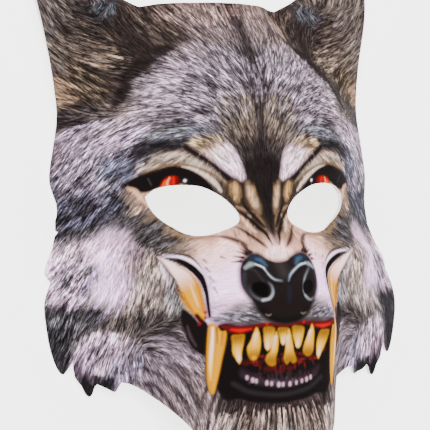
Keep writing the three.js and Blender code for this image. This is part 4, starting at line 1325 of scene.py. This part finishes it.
tree.links.new(bounded.outputs[0], shader["Base Color"])
mesh.materials.append(cloth_material)
print("printed_cloth of", len(tree.nodes), "nodes")

# %% [markdown]
# Nothing of the back shows. It is left as plain pale cloth, a little uneven in tone, with the same knit.

# %% Plain back and cut edge
PALE, BACK_ROUGH = (0.72, 0.7, 0.67), (0.8, 0.92)
WORN_TONES = {"To Min": 0.92, "To Max": 1.04}  # how wear darkens or lightens it
foam, tree, shader = new_material("foam_back")
wear = knitted(tree, shader, *BACK_ROUGH)
pale_by = add(tree, "MapRange", {"Value": wear, **RANGE, **WORN_TONES})
back_tone = add(tree, "VectorMath", {0: PALE, "Scale": pale_by.outputs[0]}, operation="SCALE")
tree.links.new(back_tone.outputs[0], shader["Base Color"])
mesh.materials.append(foam)
print("foam_back of", len(tree.nodes), "nodes")

# %% [markdown]
# The mask lies on a pale floor that glows a little, as on a light table, so that the floor seen through
# the eye holes is as white as the rest. A bright even world gives soft light from all sides. A large key
# lamp at the upper left and a weaker fill leave just enough shading to show the form.

# %% Floor and light
REACH = 3  # m from the middle of the floor to its edges
GLOW, DAYLIGHT = 1.6, 1.75  # strengths of the floor's own light and of the light from all round
LAMPS = (("key", (-0.5, 0.6, 1.2), 32, 0.9), ("fill", (0.9, -0.4, 0.9), 13, 1.0))  # place, watts, width
floor_mesh = bpy.data.meshes.new("floor")
floor_corners = [(-REACH, -REACH, 0), (REACH, -REACH, 0), (REACH, REACH, 0), (-REACH, REACH, 0)]
floor_mesh.from_pydata(floor_corners, [], [(0, 1, 2, 3)])
floor = bpy.data.objects.new("floor", floor_mesh)
bpy.context.scene.collection.objects.link(floor)
pale, tree, shader = new_material("pale_floor")
shader["Base Color"].default_value = (0.93, 0.93, 0.93, 1)
shader["Roughness"].default_value = 0.9
shader["Emission Color"].default_value = (1, 1, 1, 1)
shader["Emission Strength"].default_value = GLOW
floor_mesh.materials.append(pale)
world = bpy.data.worlds.new("studio")
bpy.context.scene.world = world
world.use_nodes = True
background = world.node_tree.nodes["Background"].inputs
background["Color"].default_value = (1, 1, 1, 1)
background["Strength"].default_value = DAYLIGHT
for name, at, power, wide in LAMPS:
    lamp = bpy.data.objects.new(name, bpy.data.lights.new(name, "AREA"))
    lamp.data.energy = power
    lamp.data.size = wide
    lamp.location = at
    lamp.rotation_euler = (-Vector(at)).to_track_quat("-Z", "Y").to_euler()
    bpy.context.scene.collection.objects.link(lamp)
